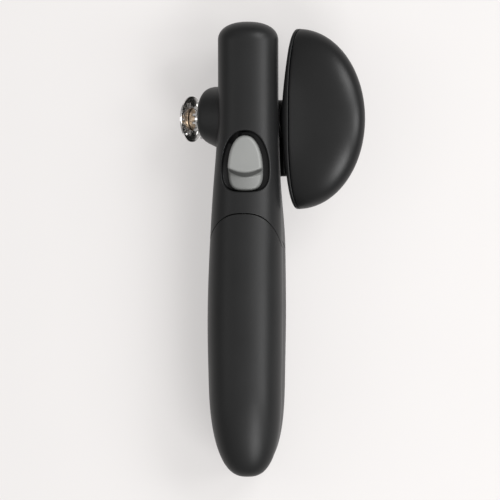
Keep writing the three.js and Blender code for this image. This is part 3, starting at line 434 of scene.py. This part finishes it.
def section_stations(squareness):
    """Stations round a handle's section, as five rows: share of the half width, share of the crown,
    share of the way from shoulder to joint face, and lift and inward step of the rounded joint edge."""
    angle = np.linspace(0, math.pi, DOME_STEPS + 1)
    dome = np.stack([
        signed_power(np.cos(angle), 2 / squareness), signed_power(np.sin(angle), 2 / squareness),
        0 * angle, 0 * angle, 0 * angle,
    ])
    down = np.linspace(0, 1, 11)[1:]
    side = np.stack([-(1 - TUCK * down ** 1.9), 0 * down, down, down, 0 * down])
    turn = np.linspace(0, math.pi / 2, 6)[1:]
    corner = np.stack([0 * turn - 1 + TUCK, 0 * turn, 0 * turn + 1, 1 - np.sin(turn), 1 - np.cos(turn)])
    over = np.linspace(-1, 1, 16)[1:-1]
    face = np.stack([over * (1 - TUCK), 0 * over, 0 * over + 1, 0 * over, -over])
    mirror = np.array([[-1], [1], [1], [1], [-1]])
    back = (np.concatenate([side, corner], 1) * mirror)[:, ::-1]
    return np.concatenate([dome, side, corner, face, back], 1)


def handle_point(half, stations, y, inset=0.0):
    """Points of a handle's skin at stations round the section and places y along it. The dome is a
    rounded square over the half width and crown, the sides run in to the flat joint face."""
    across, rise, drop, lift, step = stations
    scale = np.minimum(
        end_scale(y, half.nose, NOSE_ROUND, 2.3), end_scale(y, half.rear, REAR_ROUND, 2.6),
    )
    wide = np.maximum(half.wide(y) * scale - inset, 0.02)
    shoulder = half.shoulder(y)
    up = np.sign(shoulder - half.joint(y))
    crown = up * np.maximum(np.abs(half.far(y) - shoulder) * scale - inset, 0.02)
    joint = half.joint(y) + up * inset
    edge = EDGE_RADIUS * np.minimum(1, wide / 4)
    x = offset_at(y) + wide * across + edge * step
    z = shoulder + crown * rise + (joint - shoulder) * drop + edge * up * lift
    lowest = (z + np.sqrt(z * z + 0.02)) / 2
    z = np.where(up > 0, z, lowest)
    x, y, z = np.broadcast_arrays(x, y, z)
    return np.stack([x, y, z], -1)


JOINT_SIDE_Y = -67.7
JOINT_LENGTH = 28.0
JOINT_POWER = 2.6
JOINT_LIP = 0.24
HOUSING_AT_JOINT, GRIP_AT_JOINT = 0.2, -0.12
BEFORE_JOINT_Y = -37.5
JOINT_MIDDLE = float(offset_at(np.array(JOINT_SIDE_Y)))


def joint_curve(x, grow):
    """Place along the handle of the arched joint between housing and grip, above a place across:
    the front half of a rounded square, moved forward by grow."""
    share = np.clip(np.abs(x - JOINT_MIDDLE) / (GRIP_HALF + 0.8), 0, 0.999)
    return JOINT_SIDE_Y + grow + JOINT_LENGTH * (1 - share ** JOINT_POWER) ** (1 / JOINT_POWER)


def joint_places(half, stations, grow):
    """Where each station round the section meets the arched joint, by repeated substitution."""
    y = np.full(stations.shape[1], -45.0)
    for _ in range(14):
        y = joint_curve(handle_point(half, stations, y)[..., 0], grow)
    return y


def joint_end(half, stations, direction, grow):
    """Rows that close a piece at the arched joint: over a small lip, in behind it, and then a wall
    that follows the joint's arch to the middle of the section. direction is +1 for the housing."""
    y = joint_places(half, stations, grow)
    turn = np.linspace(0, math.pi / 2, 5)[:, None]
    back = direction * JOINT_LIP * (np.sin(turn) - 1)
    rows = handle_point(half, stations, y - back, JOINT_LIP * (1 - np.cos(turn)))
    deep = handle_point(half, stations, y[None], 1.0)
    heart = np.array([JOINT_MIDDLE, 0, float(deep[..., 2].mean())])
    share = np.linspace(0, 1, 9)[1:, None, None]
    wall = deep + (heart - deep) * share
    wall[..., 1] = joint_curve(wall[..., 0], grow)
    return np.concatenate([rows, deep, wall])


def nose_rows(half, stations, steps=22):
    """Rows from a handle's tip back to where its end rounding stops, crowded towards the tip; the
    first is pressed flat to close the end."""
    turn = np.linspace(0, math.pi / 2, steps + 1)[:, None]
    rows = handle_point(half, stations, half.nose - NOSE_ROUND * (1 - np.cos(turn)))
    closed = rows[:1].copy()
    closed[..., 0] = offset_at(np.array(half.nose))
    return np.concatenate([closed, rows])


def rear_rows(half, stations, steps=46):
    """Rows along a handle's rear rounding to its tip; the last is pressed flat to close the end."""
    turn = np.linspace(0, math.pi / 2, steps + 1)[1:, None]
    rows = handle_point(half, stations, half.rear + REAR_ROUND * (1 - np.sin(turn)))
    closed = rows[-1:].copy()
    closed[..., 0] = offset_at(np.array(half.rear))
    return np.concatenate([rows, closed])


def straight_rows(half, stations, start, end, spacing):
    """Evenly spaced rows between two places, the first left out; an end may differ by station."""
    count = int(np.ceil(np.abs(np.mean(end) - np.mean(start)) / spacing))
    share = np.linspace(0, 1, count + 1)[1:, None]
    return handle_point(half, stations, start + (end - start) * share)


def housing_rows(half, stations):
    """All rows of a housing's skin, from the nose to the joint."""
    end = joint_end(half, stations, 1, HOUSING_AT_JOINT)
    lip_start = end[0, :, 1]
    front = nose_rows(half, stations)
    middle = straight_rows(half, stations, half.nose - NOSE_ROUND, BEFORE_JOINT_Y, 0.75)
    last = straight_rows(half, stations, BEFORE_JOINT_Y, lip_start, 0.5)[:-1]
    return np.concatenate([front, middle, last, end])


def grip_patch(half):
    """A grip's skin: closed at the joint, straight behind it, then the rear rounding."""
    stations = section_stations(half.power)
    end = joint_end(half, stations, -1, GRIP_AT_JOINT)
    start = end[0, :, 1]
    behind_joint = -62.0
    middle = straight_rows(half, stations, start, behind_joint, 0.6)
    body = straight_rows(half, stations, behind_joint, half.rear + REAR_ROUND, 1.2)
    rows = np.concatenate([end[::-1], middle, body, rear_rows(half, stations)])
    return rows, quads(*rows.shape[:2])


# ---------------------------------------------------------------- lock recess and button

RECESS_FRONT, RECESS_REAR = -5.0, -30.6
RECESS_HALF = 10.0
RECESS_FLOOR = 38.0
LIP = 0.7


def egg(half, front, rear, turn):
    """Egg outline at turns from 0 to 2 pi: an arch in front of the waist, a flatter round behind it."""
    waist = rear + 0.36 * (front - rear)
    cos, sin = np.cos(turn), np.sin(turn)
    x = np.where(sin >= 0, half * signed_power(cos, 0.9), half * signed_power(cos, 0.62))
    ahead = waist + (front - waist) * np.abs(sin) ** 0.95
    behind = waist - (waist - rear) * np.abs(sin) ** 0.7
    return np.stack([x, np.where(sin >= 0, ahead, behind)], -1)


def egg_at(half, front, rear, bearing):
    """Egg outline at compass bearings about its middle, by reading a finely cut outline."""
    line = egg(half, front, rear, np.linspace(0, 2 * math.pi, 4001)[:-1])
    middle = np.array([0, (front + rear) / 2])
    angle = np.unwrap(np.arctan2(line[:, 1] - middle[1], line[:, 0]))
    order = np.argsort(angle % (2 * math.pi))
    angle = (angle % (2 * math.pi))[order]
    line = line[order]
    at = bearing % (2 * math.pi)
    x = np.interp(at, angle, line[:, 0], period=2 * math.pi)
    y = np.interp(at, angle, line[:, 1], period=2 * math.pi)
    return np.stack([x, y], -1)


def outward(outline):
    """Unit directions out of a closed anticlockwise outline, from its neighbours' difference."""
    along = np.roll(outline, -1, 0) - np.roll(outline, 1, 0)
    along /= np.linalg.norm(along, axis=1, keepdims=True)
    return np.stack([along[:, 1], -along[:, 0]], -1)


def crown_height(x, y):
    """Height of the upper handle's crown above a place: the rounded square solved for height."""
    share = np.clip(np.abs(x - offset_at(y)) / half_width_at(y), 0, 1)
    rise = (1 - share ** UPPER.power) ** (1 / UPPER.power)
    return shoulder_at(y) + (top_at(y) - shoulder_at(y)) * rise


def crown_angle(x, y):
    """Dome angle of a place on the upper handle's crown."""
    share = np.clip((x - offset_at(y)) / half_width_at(y), -1, 1)
    return np.arccos(signed_power(share, UPPER.power / 2))


def recess_patch(rows, first, last, left, right):
    """The lock's recess: from the border of a window in the skin's grid inwards to the egg outline,
    over a rounded lip, down the wall, round a fillet and across the floor."""
    angle = np.linspace(0, math.pi, DOME_STEPS + 1)
    sides = [
        rows[first, left:right], rows[first:last, right],
        rows[last, right:left:-1], rows[last:first:-1, left],
    ]
    border = np.concatenate(sides)
    border_angle = np.concatenate([
        angle[left:right], np.full(last - first, angle[right]), angle[right:left:-1],
        np.full(last - first, angle[left]),
    ])
    middle = np.array([LOCK_X, (RECESS_FRONT + RECESS_REAR) / 2])
    stretch = np.array([11.4, 16.2])
    where = (border[:, :2] - middle) / stretch
    bearing = np.arctan2(where[:, 1] * 12.8, where[:, 0] * 10)
    outline = egg_at(RECESS_HALF, RECESS_FRONT, RECESS_REAR, bearing) + np.array([LOCK_X, 0])
    onward = np.roll(outline, -1, 0)
    clockwise = np.sum(outline[:, 0] * onward[:, 1] - outline[:, 1] * onward[:, 0]) < 0
    out = -outward(outline) if clockwise else outward(outline)
    rim = outline + LIP * out
    rim_angle = crown_angle(rim[:, 0], rim[:, 1])
    share = np.linspace(0, 1, 13)[:, None]
    a = border_angle + (rim_angle - border_angle) * share
    y = border[:, 1] + (rim[:, 1] - border[:, 1]) * share
    across, rise = signed_power(np.cos(a), 2 / UPPER.power), signed_power(np.sin(a), 2 / UPPER.power)
    stations = np.stack([across, rise, 0 * a, 0 * a, 0 * a])
    skin = handle_point(UPPER, stations, y)
    skin[0] = border
    turn = np.linspace(0, math.pi / 2, 7)[1:, None]
    lip_xy = outline[None] + (LIP * (1 - np.sin(turn)))[..., None] * out[None]
    lip_z = crown_height(lip_xy[..., 0], lip_xy[..., 1]) - LIP * (1 - np.cos(turn))
    lip = np.concatenate([lip_xy, lip_z[..., None]], -1)
    fillet = 0.9
    down = np.linspace(0, 1, 7)[1:, None]
    wall_z = lip_z[-1] + (RECESS_FLOOR + fillet - lip_z[-1]) * down
    wall = np.concatenate([np.broadcast_to(outline, (6,) + outline.shape), wall_z[..., None]], -1)
    bend = turn[..., None]
    foot_xy = outline[None] - fillet * (1 - np.cos(bend)) * out[None]
    foot_z = np.broadcast_to(RECESS_FLOOR + fillet * (1 - np.sin(turn)), foot_xy.shape[:2])
    foot = np.concatenate([foot_xy, foot_z[..., None]], -1)
    centre = np.array([*middle, RECESS_FLOOR])
    floor = foot[-1] + (centre - foot[-1]) * np.linspace(0, 1, 9)[1:, None, None]
    points = np.concatenate([skin, lip, wall, foot, floor])
    return points, quads(*points.shape[:2])


def upper_housing():
    """The upper housing's skin with its window for the recess, and the recess's own patch."""
    stations = section_stations(UPPER.power)
    rows = housing_rows(UPPER, stations)
    place = rows[:, 0, 1]
    first = int(np.argmax(place < -1.8))
    last = int(np.argmax(place < -34.2))
    left, right = 16, DOME_STEPS - 16
    faces = quads(*rows.shape[:2])
    column = faces[:, 0] % rows.shape[1]
    row = faces[:, 0] // rows.shape[1]
    kept = ~((row >= first) & (row < last) & (column >= left) & (column < right))
    patches = [(rows, faces[kept]), recess_patch(rows, first, last, left, right)]
    return piece("upper_housing_skin", patches, "upper_handle", ["upper_housing"], "soft_black")


def cutter_boss():
    """The boss that carries the cutter shaft: a D-shaped section, rounded over its arch and flat
    below, whose rear flares out towards the handle, with a rounded outer edge."""
    reach = np.array([-12.7, -12.68, -12.5, -12.1, -11.5, -10.8, -9, -7, -5, -2.5, 0, 4, 7])
    inset = np.array([1.9, 1.6, 1.0, 0.5, 0.15, 0, 0, 0, 0, 0, 0, 0, 0])
    turn = np.linspace(0, math.pi, 73)
    towards = np.clip((reach + 12.7) / 12.7, 0, 1)
    front = 13.6 - inset
    rear = 10.4 + 6.2 * towards ** 1.15 - inset
    top = 25.5 + 0.3 * towards - inset
    base = 7.8 + inset
    length = np.where(np.cos(turn) >= 0, front[:, None], rear[:, None])
    y = length * signed_power(np.cos(turn), 0.8)
    t = base[:, None] + (top - base)[:, None] * signed_power(np.sin(turn), 0.72)
    y = np.concatenate([y, y[:, -1:] + (y[:, :1] - y[:, -1:]) * np.linspace(0, 1, 14)[1:-1]], 1)
    t = np.concatenate([t, np.broadcast_to(base[:, None], (len(reach), 12))], 1)
    side = lean(reach[:, None], y, t)
    centre = lean(np.array([-12.7, 7.0]), 1.0, 15.0)
    share = np.linspace(1, 0, 6)[1:, None, None]
    front_cap = (centre[0] + (side[0] - centre[0]) * share)[::-1]
    back_cap = centre[1] + (side[-1] - centre[1]) * share
    rows = np.concatenate([front_cap, side, back_cap])
    return piece("cutter_boss_skin", [(rows, quads(*rows.shape[:2]))], "upper_handle", ["upper_housing"],
                 "soft_black", 50)


def lock_button():
    """The thumb slider: a raised pad with rounded edges over the front of an egg outline, falling by
    a rounded arc-shaped step to a lower ledge behind. Height is a function of place."""
    front, rear = button_high[1], button_low[1]
    half = (button_high[0] - button_low[0]) / 2
    pad, ledge, base = PAD_TOP, LEDGE_TOP, button_low[2]
    bearing = np.linspace(0, 2 * math.pi, 241)[:-1]
    outline = egg_at(half, front, rear, bearing) + np.array([LOCK_X, 0])
    out = outward(outline)
    middle = np.array([LOCK_X, (front + rear) / 2])
    edge_radius = 1.3
    inner = outline - edge_radius * out
    share = np.linspace(0, 1, 66)[:, None, None]
    cap = middle + (inner - middle) * share

    def height(x, y):
        across = (x - LOCK_X) ** 2
        edge = -21.7 + 0.036 * across
        into = np.clip((edge - y) / 3.3, 0, 1)
        fall = into * into * (3 - 2 * into)
        return pad + (ledge - pad) * fall - 0.006 * across * (1 - fall) - 0.03 * across * fall

    turn = np.linspace(0, math.pi / 2, 9)[1:]
    edge_xy = inner[None] + edge_radius * np.sin(turn)[:, None, None] * out[None]
    edge_z = height(edge_xy[..., 0], edge_xy[..., 1]) - edge_radius * (1 - np.cos(turn))[:, None]
    cap_z = height(cap[..., 0], cap[..., 1])
    top = np.concatenate([cap, cap_z[..., None]], -1)
    edge = np.concatenate([edge_xy, edge_z[..., None]], -1)
    down = np.linspace(0, 1, 5)[1:, None]
    side_z = edge_z[-1] + (base - edge_z[-1]) * down
    side = np.concatenate([np.broadcast_to(outline, (4,) + outline.shape), side_z[..., None]], -1)
    foot = np.array([*middle, base])
    under = side[-1] + (foot - side[-1]) * np.linspace(0, 1, 5)[1:, None, None]
    points = np.concatenate([top, edge, side, under])
    return piece("lock_button_pad", [(points, quads(*points.shape[:2]))], "lock", ["lock_button"],
                 "lock_grey", 50)


# ---------------------------------------------------------------- turned parts, gears and knob

def turned(profile, shaft_y, shaft_t, steps=96, closed=False):
    """A profile of (radius, s) points spun about a shaft; closed joins its last point to its first."""
    radius, s = np.array(profile, float).T
    turn = np.linspace(0, 2 * math.pi, steps + 1)[:-1]
    y = shaft_y + radius[:, None] * np.cos(turn)
    t = shaft_t + radius[:, None] * np.sin(turn)
    points = lean(s[:, None], y, t)
    return points, quads(len(s), steps, True, closed)


def toothed(rows, bore, shaft_t, turn_to, teeth, root, outer, root_share, tip_share):
    """A toothed wheel: its rim radius rises from root to outer within each tooth's share of the
    pitch, and rows of (s, inset) carry the rim across the width, with bevelled corners; a negative
    inset stands for the bore."""
    per_tooth = 24
    turn = turn_to + np.arange(teeth * per_tooth) * 2 * math.pi / (teeth * per_tooth)
    phase = np.abs(((turn - turn_to) * teeth / (2 * math.pi) + 0.5) % 1 - 0.5)
    rise = np.clip((root_share - phase) / (root_share - tip_share), 0, 1)
    rim = root + (outer - root) * (0.35 * rise + 0.65 * rise * rise * (3 - 2 * rise))
    s, inset = np.array(rows, float).T
    radius = np.where(inset[:, None] >= 0, rim - inset[:, None], bore - inset[:, None] - 1)
    points = lean(s[:, None], radius * np.cos(turn), shaft_t + radius * np.sin(turn))
    return points, quads(len(s), len(turn), True, True)


def wheel_rows(start, end, hub, bevel=0.28):
    """Rows across a toothed wheel: bore, a face with a shallow recess round the hub, bevelled rim."""
    return [
        (start, -1), (start, -1 - hub), (start + 0.25, -1.25 - hub), (start + 0.25, 1.3), (start, 0.9),
        (start, bevel), (start + bevel, 0), (end - bevel, 0), (end, bevel), (end, 0.9),
        (end - 0.25, 1.3), (end - 0.25, -1.25 - hub), (end, -1 - hub), (end, -1),
    ]


GEAR_S, FEED_S = (-15.6, -13.1), (-19.0, -16.0)
DRIVE_BORE, CUTTER_BORE = 4.1, 3.2


def wheels():
    """The two gears, the serrated feed wheel, the bevelled cutting wheel and what holds them."""
    toothed_gear = dict(teeth=15, root=6.35, outer=8.4, root_share=0.31, tip_share=0.1)
    gear = wheel_rows(*GEAR_S, 1.4)
    cutter_gear = toothed(gear, CUTTER_BORE, SPACING, -math.pi / 2, **toothed_gear)
    piece("cutter_gear_teeth", [cutter_gear], "cutter", ["cutter_gear"], "cutter_steel", 28)
    between_teeth = math.pi / 2 + math.pi / toothed_gear["teeth"]
    drive_gear = toothed(gear, DRIVE_BORE, 0.0, between_teeth, **toothed_gear)
    piece("drive_gear_teeth", [drive_gear], "drive", ["drive_gear"], "bright_steel", 28)
    feed = toothed(
        wheel_rows(*FEED_S, 1.0, 0.4), DRIVE_BORE, 0.0, 0.0,
        teeth=26, root=6.3, outer=7.0, root_share=0.42, tip_share=0.1,
    )
    piece("feed_wheel_serrated", [feed], "drive", ["feed_wheel"], "bright_steel", 28)
    blade = [
        (1.6, -19.2), (3.4, -19.2), (3.5, -19.28), (3.7, -19.28), (3.8, -19.2), (6.6, -19.2), (6.75, -19.25),
        (7.2, -19.25), (8.2, -19.5), (9.0, -19.78), (9.5, -19.9), (9.6, -19.98), (9.6, -20.58), (9.5, -20.67),
        (9.3, -20.7), (7.9, -20.7), (7.8, -20.62), (7.5, -20.62), (7.4, -20.7), (4.2, -20.7), (1.6, -20.7),
    ]
    piece("cutting_wheel_disc", [turned(blade, 0, SPACING, 160, True)], "cutter", ["cutting_wheel"],
          "cutter_steel", 24)
    spacer = rounded(
        [(CUTTER_BORE, -18.9), (4.9, -18.9), (4.9, -15.9), (CUTTER_BORE, -15.9)], [0.35, 0.35],
    )
    piece("cutter_spacer_ring", [turned(spacer, 0, SPACING, 96, True)], "cutter", ["cutter_spacer"], "bronze")
    rivet = rounded(
        [(0, -22.25), (2.2, -22.2), (3.5, -21.5), (3.5, -21.0), (1.3, -21.0), (1.3, -13.2), (0, -13.2)],
        [1.2, 0.7, 0.15, 0.15, 0.2],
    )
    piece("cutter_rivet_head", [turned(rivet, 0, SPACING, 64)], "cutter", ["cutter_rivet"], "bronze")
    feed_screw()
    washer = rounded([(DRIVE_BORE, 18.1), (7.4, 18.1), (7.4, 19.0), (DRIVE_BORE, 19.0)], [0.2, 0.2])
    piece("drive_washer_ring", [turned(washer, 0, 0, 96, True)], "drive", ["drive_washer"], "frame_steel")


def feed_screw():
    """The feed wheel's screw: a low button head with a six-sided socket, on a plain shank."""
    steps = 96
    turn = np.linspace(0, 2 * math.pi, steps + 1)[:-1]
    hexagon = 1.35 * math.cos(math.pi / 6) / np.cos((turn % (math.pi / 3)) - math.pi / 6)
    head = rounded(
        [(1.9, -21.1), (2.7, -21.1), (3.3, -20.4), (3.3, -19.3), (1.5, -19.3), (1.5, -11.0), (0, -11.0)],
        [0.5, 0.4, 0.15, 0.2, 0.2],
    )
    radius = np.concatenate([
        np.zeros((1, steps)), hexagon[None] * 0.98, hexagon[None], hexagon[None] + 0.12,
        np.broadcast_to(head[:, :1], (len(head), steps)),
    ])
    s = np.concatenate([[-20.0, -20.05, -21.0, -21.1], head[:, 1]])
    points = lean(s[:, None], radius * np.cos(turn), radius * np.sin(turn))
    piece("feed_screw_head", [(points, quads(*points.shape[:2]))], "drive", ["feed_screw"], "bright_steel")


KNOB_LENGTH, KNOB_DEPTH, KNOB_THICK = 37.7, 31.0, 12.0
KNOB_S = 22.2
KNOB_BACK = 2.8
KNOB_SPLIT = 1.5
BOSS_RADIUS = 8.0
BOSS_START, BOSS_END = 4.0, 17.8


def knob_sizes(along):
    """Depth, half thickness and bulge of the back at a share of the knob's half length."""
    depth = KNOB_DEPTH * np.sqrt(1 - along ** 2)
    thick = KNOB_THICK * (1 - along ** 2.6) ** (1 / 2.2)
    back = KNOB_BACK * (1 - along ** 1.2) - 1.1 * along
    return depth, thick, back


def knob_shell():
    """The knob's dome: half an ellipse across at each place, ending in a rounded edge at the split."""
    split, radius = KNOB_S + KNOB_SPLIT + 0.12, 0.5
    y = -KNOB_LENGTH * 0.9982 * np.cos(np.linspace(0, math.pi, 141))
    depth, thick, _ = knob_sizes(np.abs(y) / KNOB_LENGTH)
    cut = np.arccos(np.clip((split + radius - KNOB_S) / depth, -1, 1))
    angle = cut[:, None] * np.linspace(-1, 1, 89)
    s = KNOB_S + depth[:, None] * np.cos(angle)
    t = thick[:, None] * np.sin(angle)
    turn = np.linspace(0, math.pi / 2, 6)[1:]
    step = np.minimum(radius, thick * np.sin(cut) * 0.5)[:, None]
    edge_s = split + radius - radius * np.sin(turn) + 0 * step
    edge_t = t[:, -1:] - step * (1 - np.cos(turn))
    over = np.linspace(1, -1, 14)[1:-1]
    face_t = edge_t[:, -1:] * over
    face_s = np.full_like(face_t, split)
    s = np.concatenate([s, edge_s, face_s, edge_s[:, ::-1]], 1)
    t = np.concatenate([t, edge_t, face_t, -edge_t[:, ::-1]], 1)
    rows = lean(s, y[:, None], t)
    ends = [rows[:1].mean(1, keepdims=True) + 0 * rows[:1], rows[-1:].mean(1, keepdims=True) + 0 * rows[-1:]]
    rows = np.concatenate([ends[0], rows, ends[1]])
    piece("knob_dome", [(rows, quads(*rows.shape[:2]))], "drive", ["knob_shell"], "knob_black")


def knob_back():
    """The knob's back: a plate with a rounded front edge and a bevel that runs into its flat back."""
    split, radius = KNOB_S + KNOB_SPLIT - 0.14, 0.45
    y = -KNOB_LENGTH * 0.9996 * np.cos(np.linspace(0, math.pi, 141))
    depth, thick, back = (size[:, None] for size in knob_sizes(np.abs(y) / KNOB_LENGTH))
    deep = np.maximum(depth, 0.3)
    front = np.minimum(split - KNOB_S, deep * 0.9)
    rim = thick * np.sqrt(1 - (front / np.maximum(deep, 0.31)) ** 2)
    small = np.minimum(radius, np.minimum(rim * 0.5, front * 0.5 + 0.01))
    turn = np.linspace(math.pi / 2, 0, 6)
    edge_s = KNOB_S + front - small * (1 - np.sin(turn))
    edge_t = rim - small * (1 - np.cos(turn))
    bevel = np.linspace(0, 1, 15)[1:]
    flank = np.clip(bevel / 0.35, 0, 1)
    shoulder = np.clip((bevel - 0.35) / 0.65, 0, 1)
    bevel_s = KNOB_S - back * (0.6 * flank + 0.4 * np.sin(shoulder * math.pi / 2))
    bevel_t = thick * (1 - 0.045 * flank ** 2 - 0.19 * shoulder ** 1.25)
    over = np.linspace(1, -1, 16)[1:-1]
    flat_t = bevel_t[:, -1:] * over
    flat_s = bevel_s[:, -1:] + 0 * flat_t
    front_over = np.linspace(-1, 1, 12)[1:-1]
    front_t = edge_t[:, :1] * front_over
    front_s = edge_s[:, :1] + 0 * front_t
    s = np.concatenate([edge_s, bevel_s, flat_s, bevel_s[:, ::-1], edge_s[:, ::-1], front_s], 1)
    t = np.concatenate([edge_t, bevel_t, flat_t, -bevel_t[:, ::-1], -edge_t[:, ::-1], front_t], 1)
    rows = lean(s, y[:, None], t)
    ends = [rows[:1].mean(1, keepdims=True) + 0 * rows[:1], rows[-1:].mean(1, keepdims=True) + 0 * rows[-1:]]
    rows = np.concatenate([ends[0], rows, ends[1]])
    piece("knob_back_plate", [(rows, quads(*rows.shape[:2]))], "drive", ["knob_core"], "hard_black")


def knob_boss():
    """The round boss between the lower housing and the knob, and the low web behind it: a rounded
    rectangle by length and height, drawn in at its outer end."""
    profile = rounded(
        [(0, BOSS_START), (BOSS_RADIUS, BOSS_START), (BOSS_RADIUS, BOSS_END), (0, BOSS_END)], [0.2, 0.9],
    )
    squareness = 0.45
    web_end = BOSS_END - 1
    reach = np.array([BOSS_START, BOSS_START, *(web_end - np.array([1.6, 1.1, 0.6, 0.25, 0.05, 0, 0]))])
    reach = reach[:, None]
    inset = np.array([9.0, 0, 0, 0.08, 0.3, 0.7, 1.1, 1.5, 9.0])[:, None]
    turn = np.linspace(0, 2 * math.pi, 97)[:-1]
    half_length = np.maximum(WEB_LENGTH / 2 - inset, 0.01)
    half_height = np.maximum((WEB_HIGH - WEB_LOW) / 2 - inset, 0.01)
    y = half_length * signed_power(np.cos(turn), squareness) - WEB_LENGTH / 2
    t = half_height * signed_power(np.sin(turn), squareness) + (WEB_LOW + WEB_HIGH) / 2
    web = lean(reach, y, t)
    web[0], web[-1] = web[0].mean(0), web[-1].mean(0)
    patches = [turned(profile, 0, 0, 96), (web, quads(*web.shape[:2]))]
    piece("knob_boss_skin", patches, "lower_handle", ["lower_housing"], "hard_black")


# ---------------------------------------------------------------- the object

upper_housing()
cutter_boss()
piece("upper_grip_skin", [grip_patch(UPPER)], "upper_handle", ["upper_grip"], "soft_black")
lower_rows = housing_rows(LOWER, section_stations(LOWER.power))
piece("lower_housing_skin", [(lower_rows, quads(*lower_rows.shape[:2]))], "lower_handle",
      ["lower_housing"], "hard_black")
piece("lower_grip_skin", [grip_patch(LOWER)], "lower_handle", ["lower_grip"], "soft_black")
knob_boss()
knob_shell()
knob_back()
lock_button()
wheels()

CARRIED_OVER = {
    "frame_steel": [
        "lower_frame", "upper_frame", "pivot_pin", "pivot_spacer", "pivot_clip_left", "pivot_clip_right",
        "latch_catch_pin", "lower_frame_pin_front", "lower_frame_pin_rear", "upper_frame_pin_front",
        "upper_frame_pin_rear", "knob_cross_pin", "latch_hook",
    ],
    "bright_steel": ["drive_shaft", "lock_detent_spring"],
    "cutter_steel": ["cutter_spindle"],
    "bronze": ["drive_bearing", "cutter_bearing"],
}
for finish_name, node_names in CARRIED_OVER.items():
    for node_name in node_names:
        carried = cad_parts[node_name].data
        carried.materials.clear()
        carried.materials.append(FINISHES[finish_name])

# ---------------------------------------------------------------- floor, lights and camera

floor_mesh = bpy.data.meshes.new("table")
FLOOR_REACH = 30.0
floor_points = np.array([(-1, -1, 0), (1, -1, 0), (1, 1, 0), (-1, 1, 0)]) * FLOOR_REACH
floor_mesh.from_pydata(floor_points.tolist(), [], [(0, 1, 2, 3)])
floor_mesh.materials.append(pale_floor())
floor = bpy.data.objects.new("table", floor_mesh)
bpy.context.scene.collection.objects.link(floor)


def soft_light(name, place, target, width, length, power):
    """A rectangular soft box at a place, turned to a target; all in metres, the power in watts."""
    lamp = bpy.data.lights.new(name, "AREA")
    lamp.shape = "RECTANGLE"
    lamp.size, lamp.size_y, lamp.energy = width, length, power
    box = bpy.data.objects.new(name, lamp)
    aim = np.array(target) - np.array(place)
    box.location = place
    box.rotation_euler = Vector(aim).to_track_quat("-Z", "Y").to_euler()
    bpy.context.scene.collection.objects.link(box)


soft_light("right", (0.75, -0.03, 0.68), (0.0, -0.03, 0.02), 0.28, 0.4, 3.5)
soft_light("front_right", (0.49, 0.47, 0.73), (0.02, 0.0, 0.02), 0.44, 0.4, 4.6)
soft_light("rear_right", (0.35, -0.54, 0.75), (0.02, 0.0, 0.02), 0.4, 0.36, 5.0)
soft_light("left", (-0.74, 0.0, 0.68), (-0.02, 0.0, 0.02), 0.3, 0.3, 0.45)


def studio_world(overhead, around, turn_from):
    """A light tent, brightest overhead: its strength falls with the direction's height, as a smooth
    step, and is even at and below the height turn_from."""
    world = bpy.data.worlds.new("studio")
    world.use_nodes = True
    nodes, links = world.node_tree.nodes, world.node_tree.links
    direction = nodes.new("ShaderNodeTexCoord")
    parts = nodes.new("ShaderNodeSeparateXYZ")
    level = nodes.new("ShaderNodeMapRange")
    level.interpolation_type = "SMOOTHSTEP"
    bounds = {"From Min": turn_from, "From Max": 1.0, "To Min": around, "To Max": overhead}
    for socket, value in bounds.items():
        level.inputs[socket].default_value = value
    links.new(direction.outputs["Generated"], parts.inputs["Vector"])
    links.new(parts.outputs["Z"], level.inputs["Value"])
    background = nodes["Background"]
    background.inputs["Color"].default_value = (1.0, 0.985, 0.975, 1)
    links.new(level.outputs["Result"], background.inputs["Strength"])
    bpy.context.scene.world = world


studio_world(overhead=0.76, around=0.3, turn_from=0.2)
bpy.context.scene.view_settings.view_transform = "Standard"

CAMERA_TILT = math.radians(4)
CAMERA_DISTANCE = 4.0
FRAME_WIDTH = 0.2093
LOOK_AT_Y, LOOK_AT_Z = -0.0548, 0.022
camera_data = bpy.data.cameras.new("camera")
camera_data.sensor_width = 36.0
camera_data.lens = camera_data.sensor_width * CAMERA_DISTANCE / FRAME_WIDTH
camera_data.clip_end = 20
camera = bpy.data.objects.new("camera", camera_data)
camera.location = (
    CAMERA_DISTANCE * math.sin(CAMERA_TILT), LOOK_AT_Y, LOOK_AT_Z + CAMERA_DISTANCE * math.cos(CAMERA_TILT),
)
camera.rotation_euler = (0, CAMERA_TILT, 0)
bpy.context.scene.collection.objects.link(camera)
bpy.context.scene.camera = camera
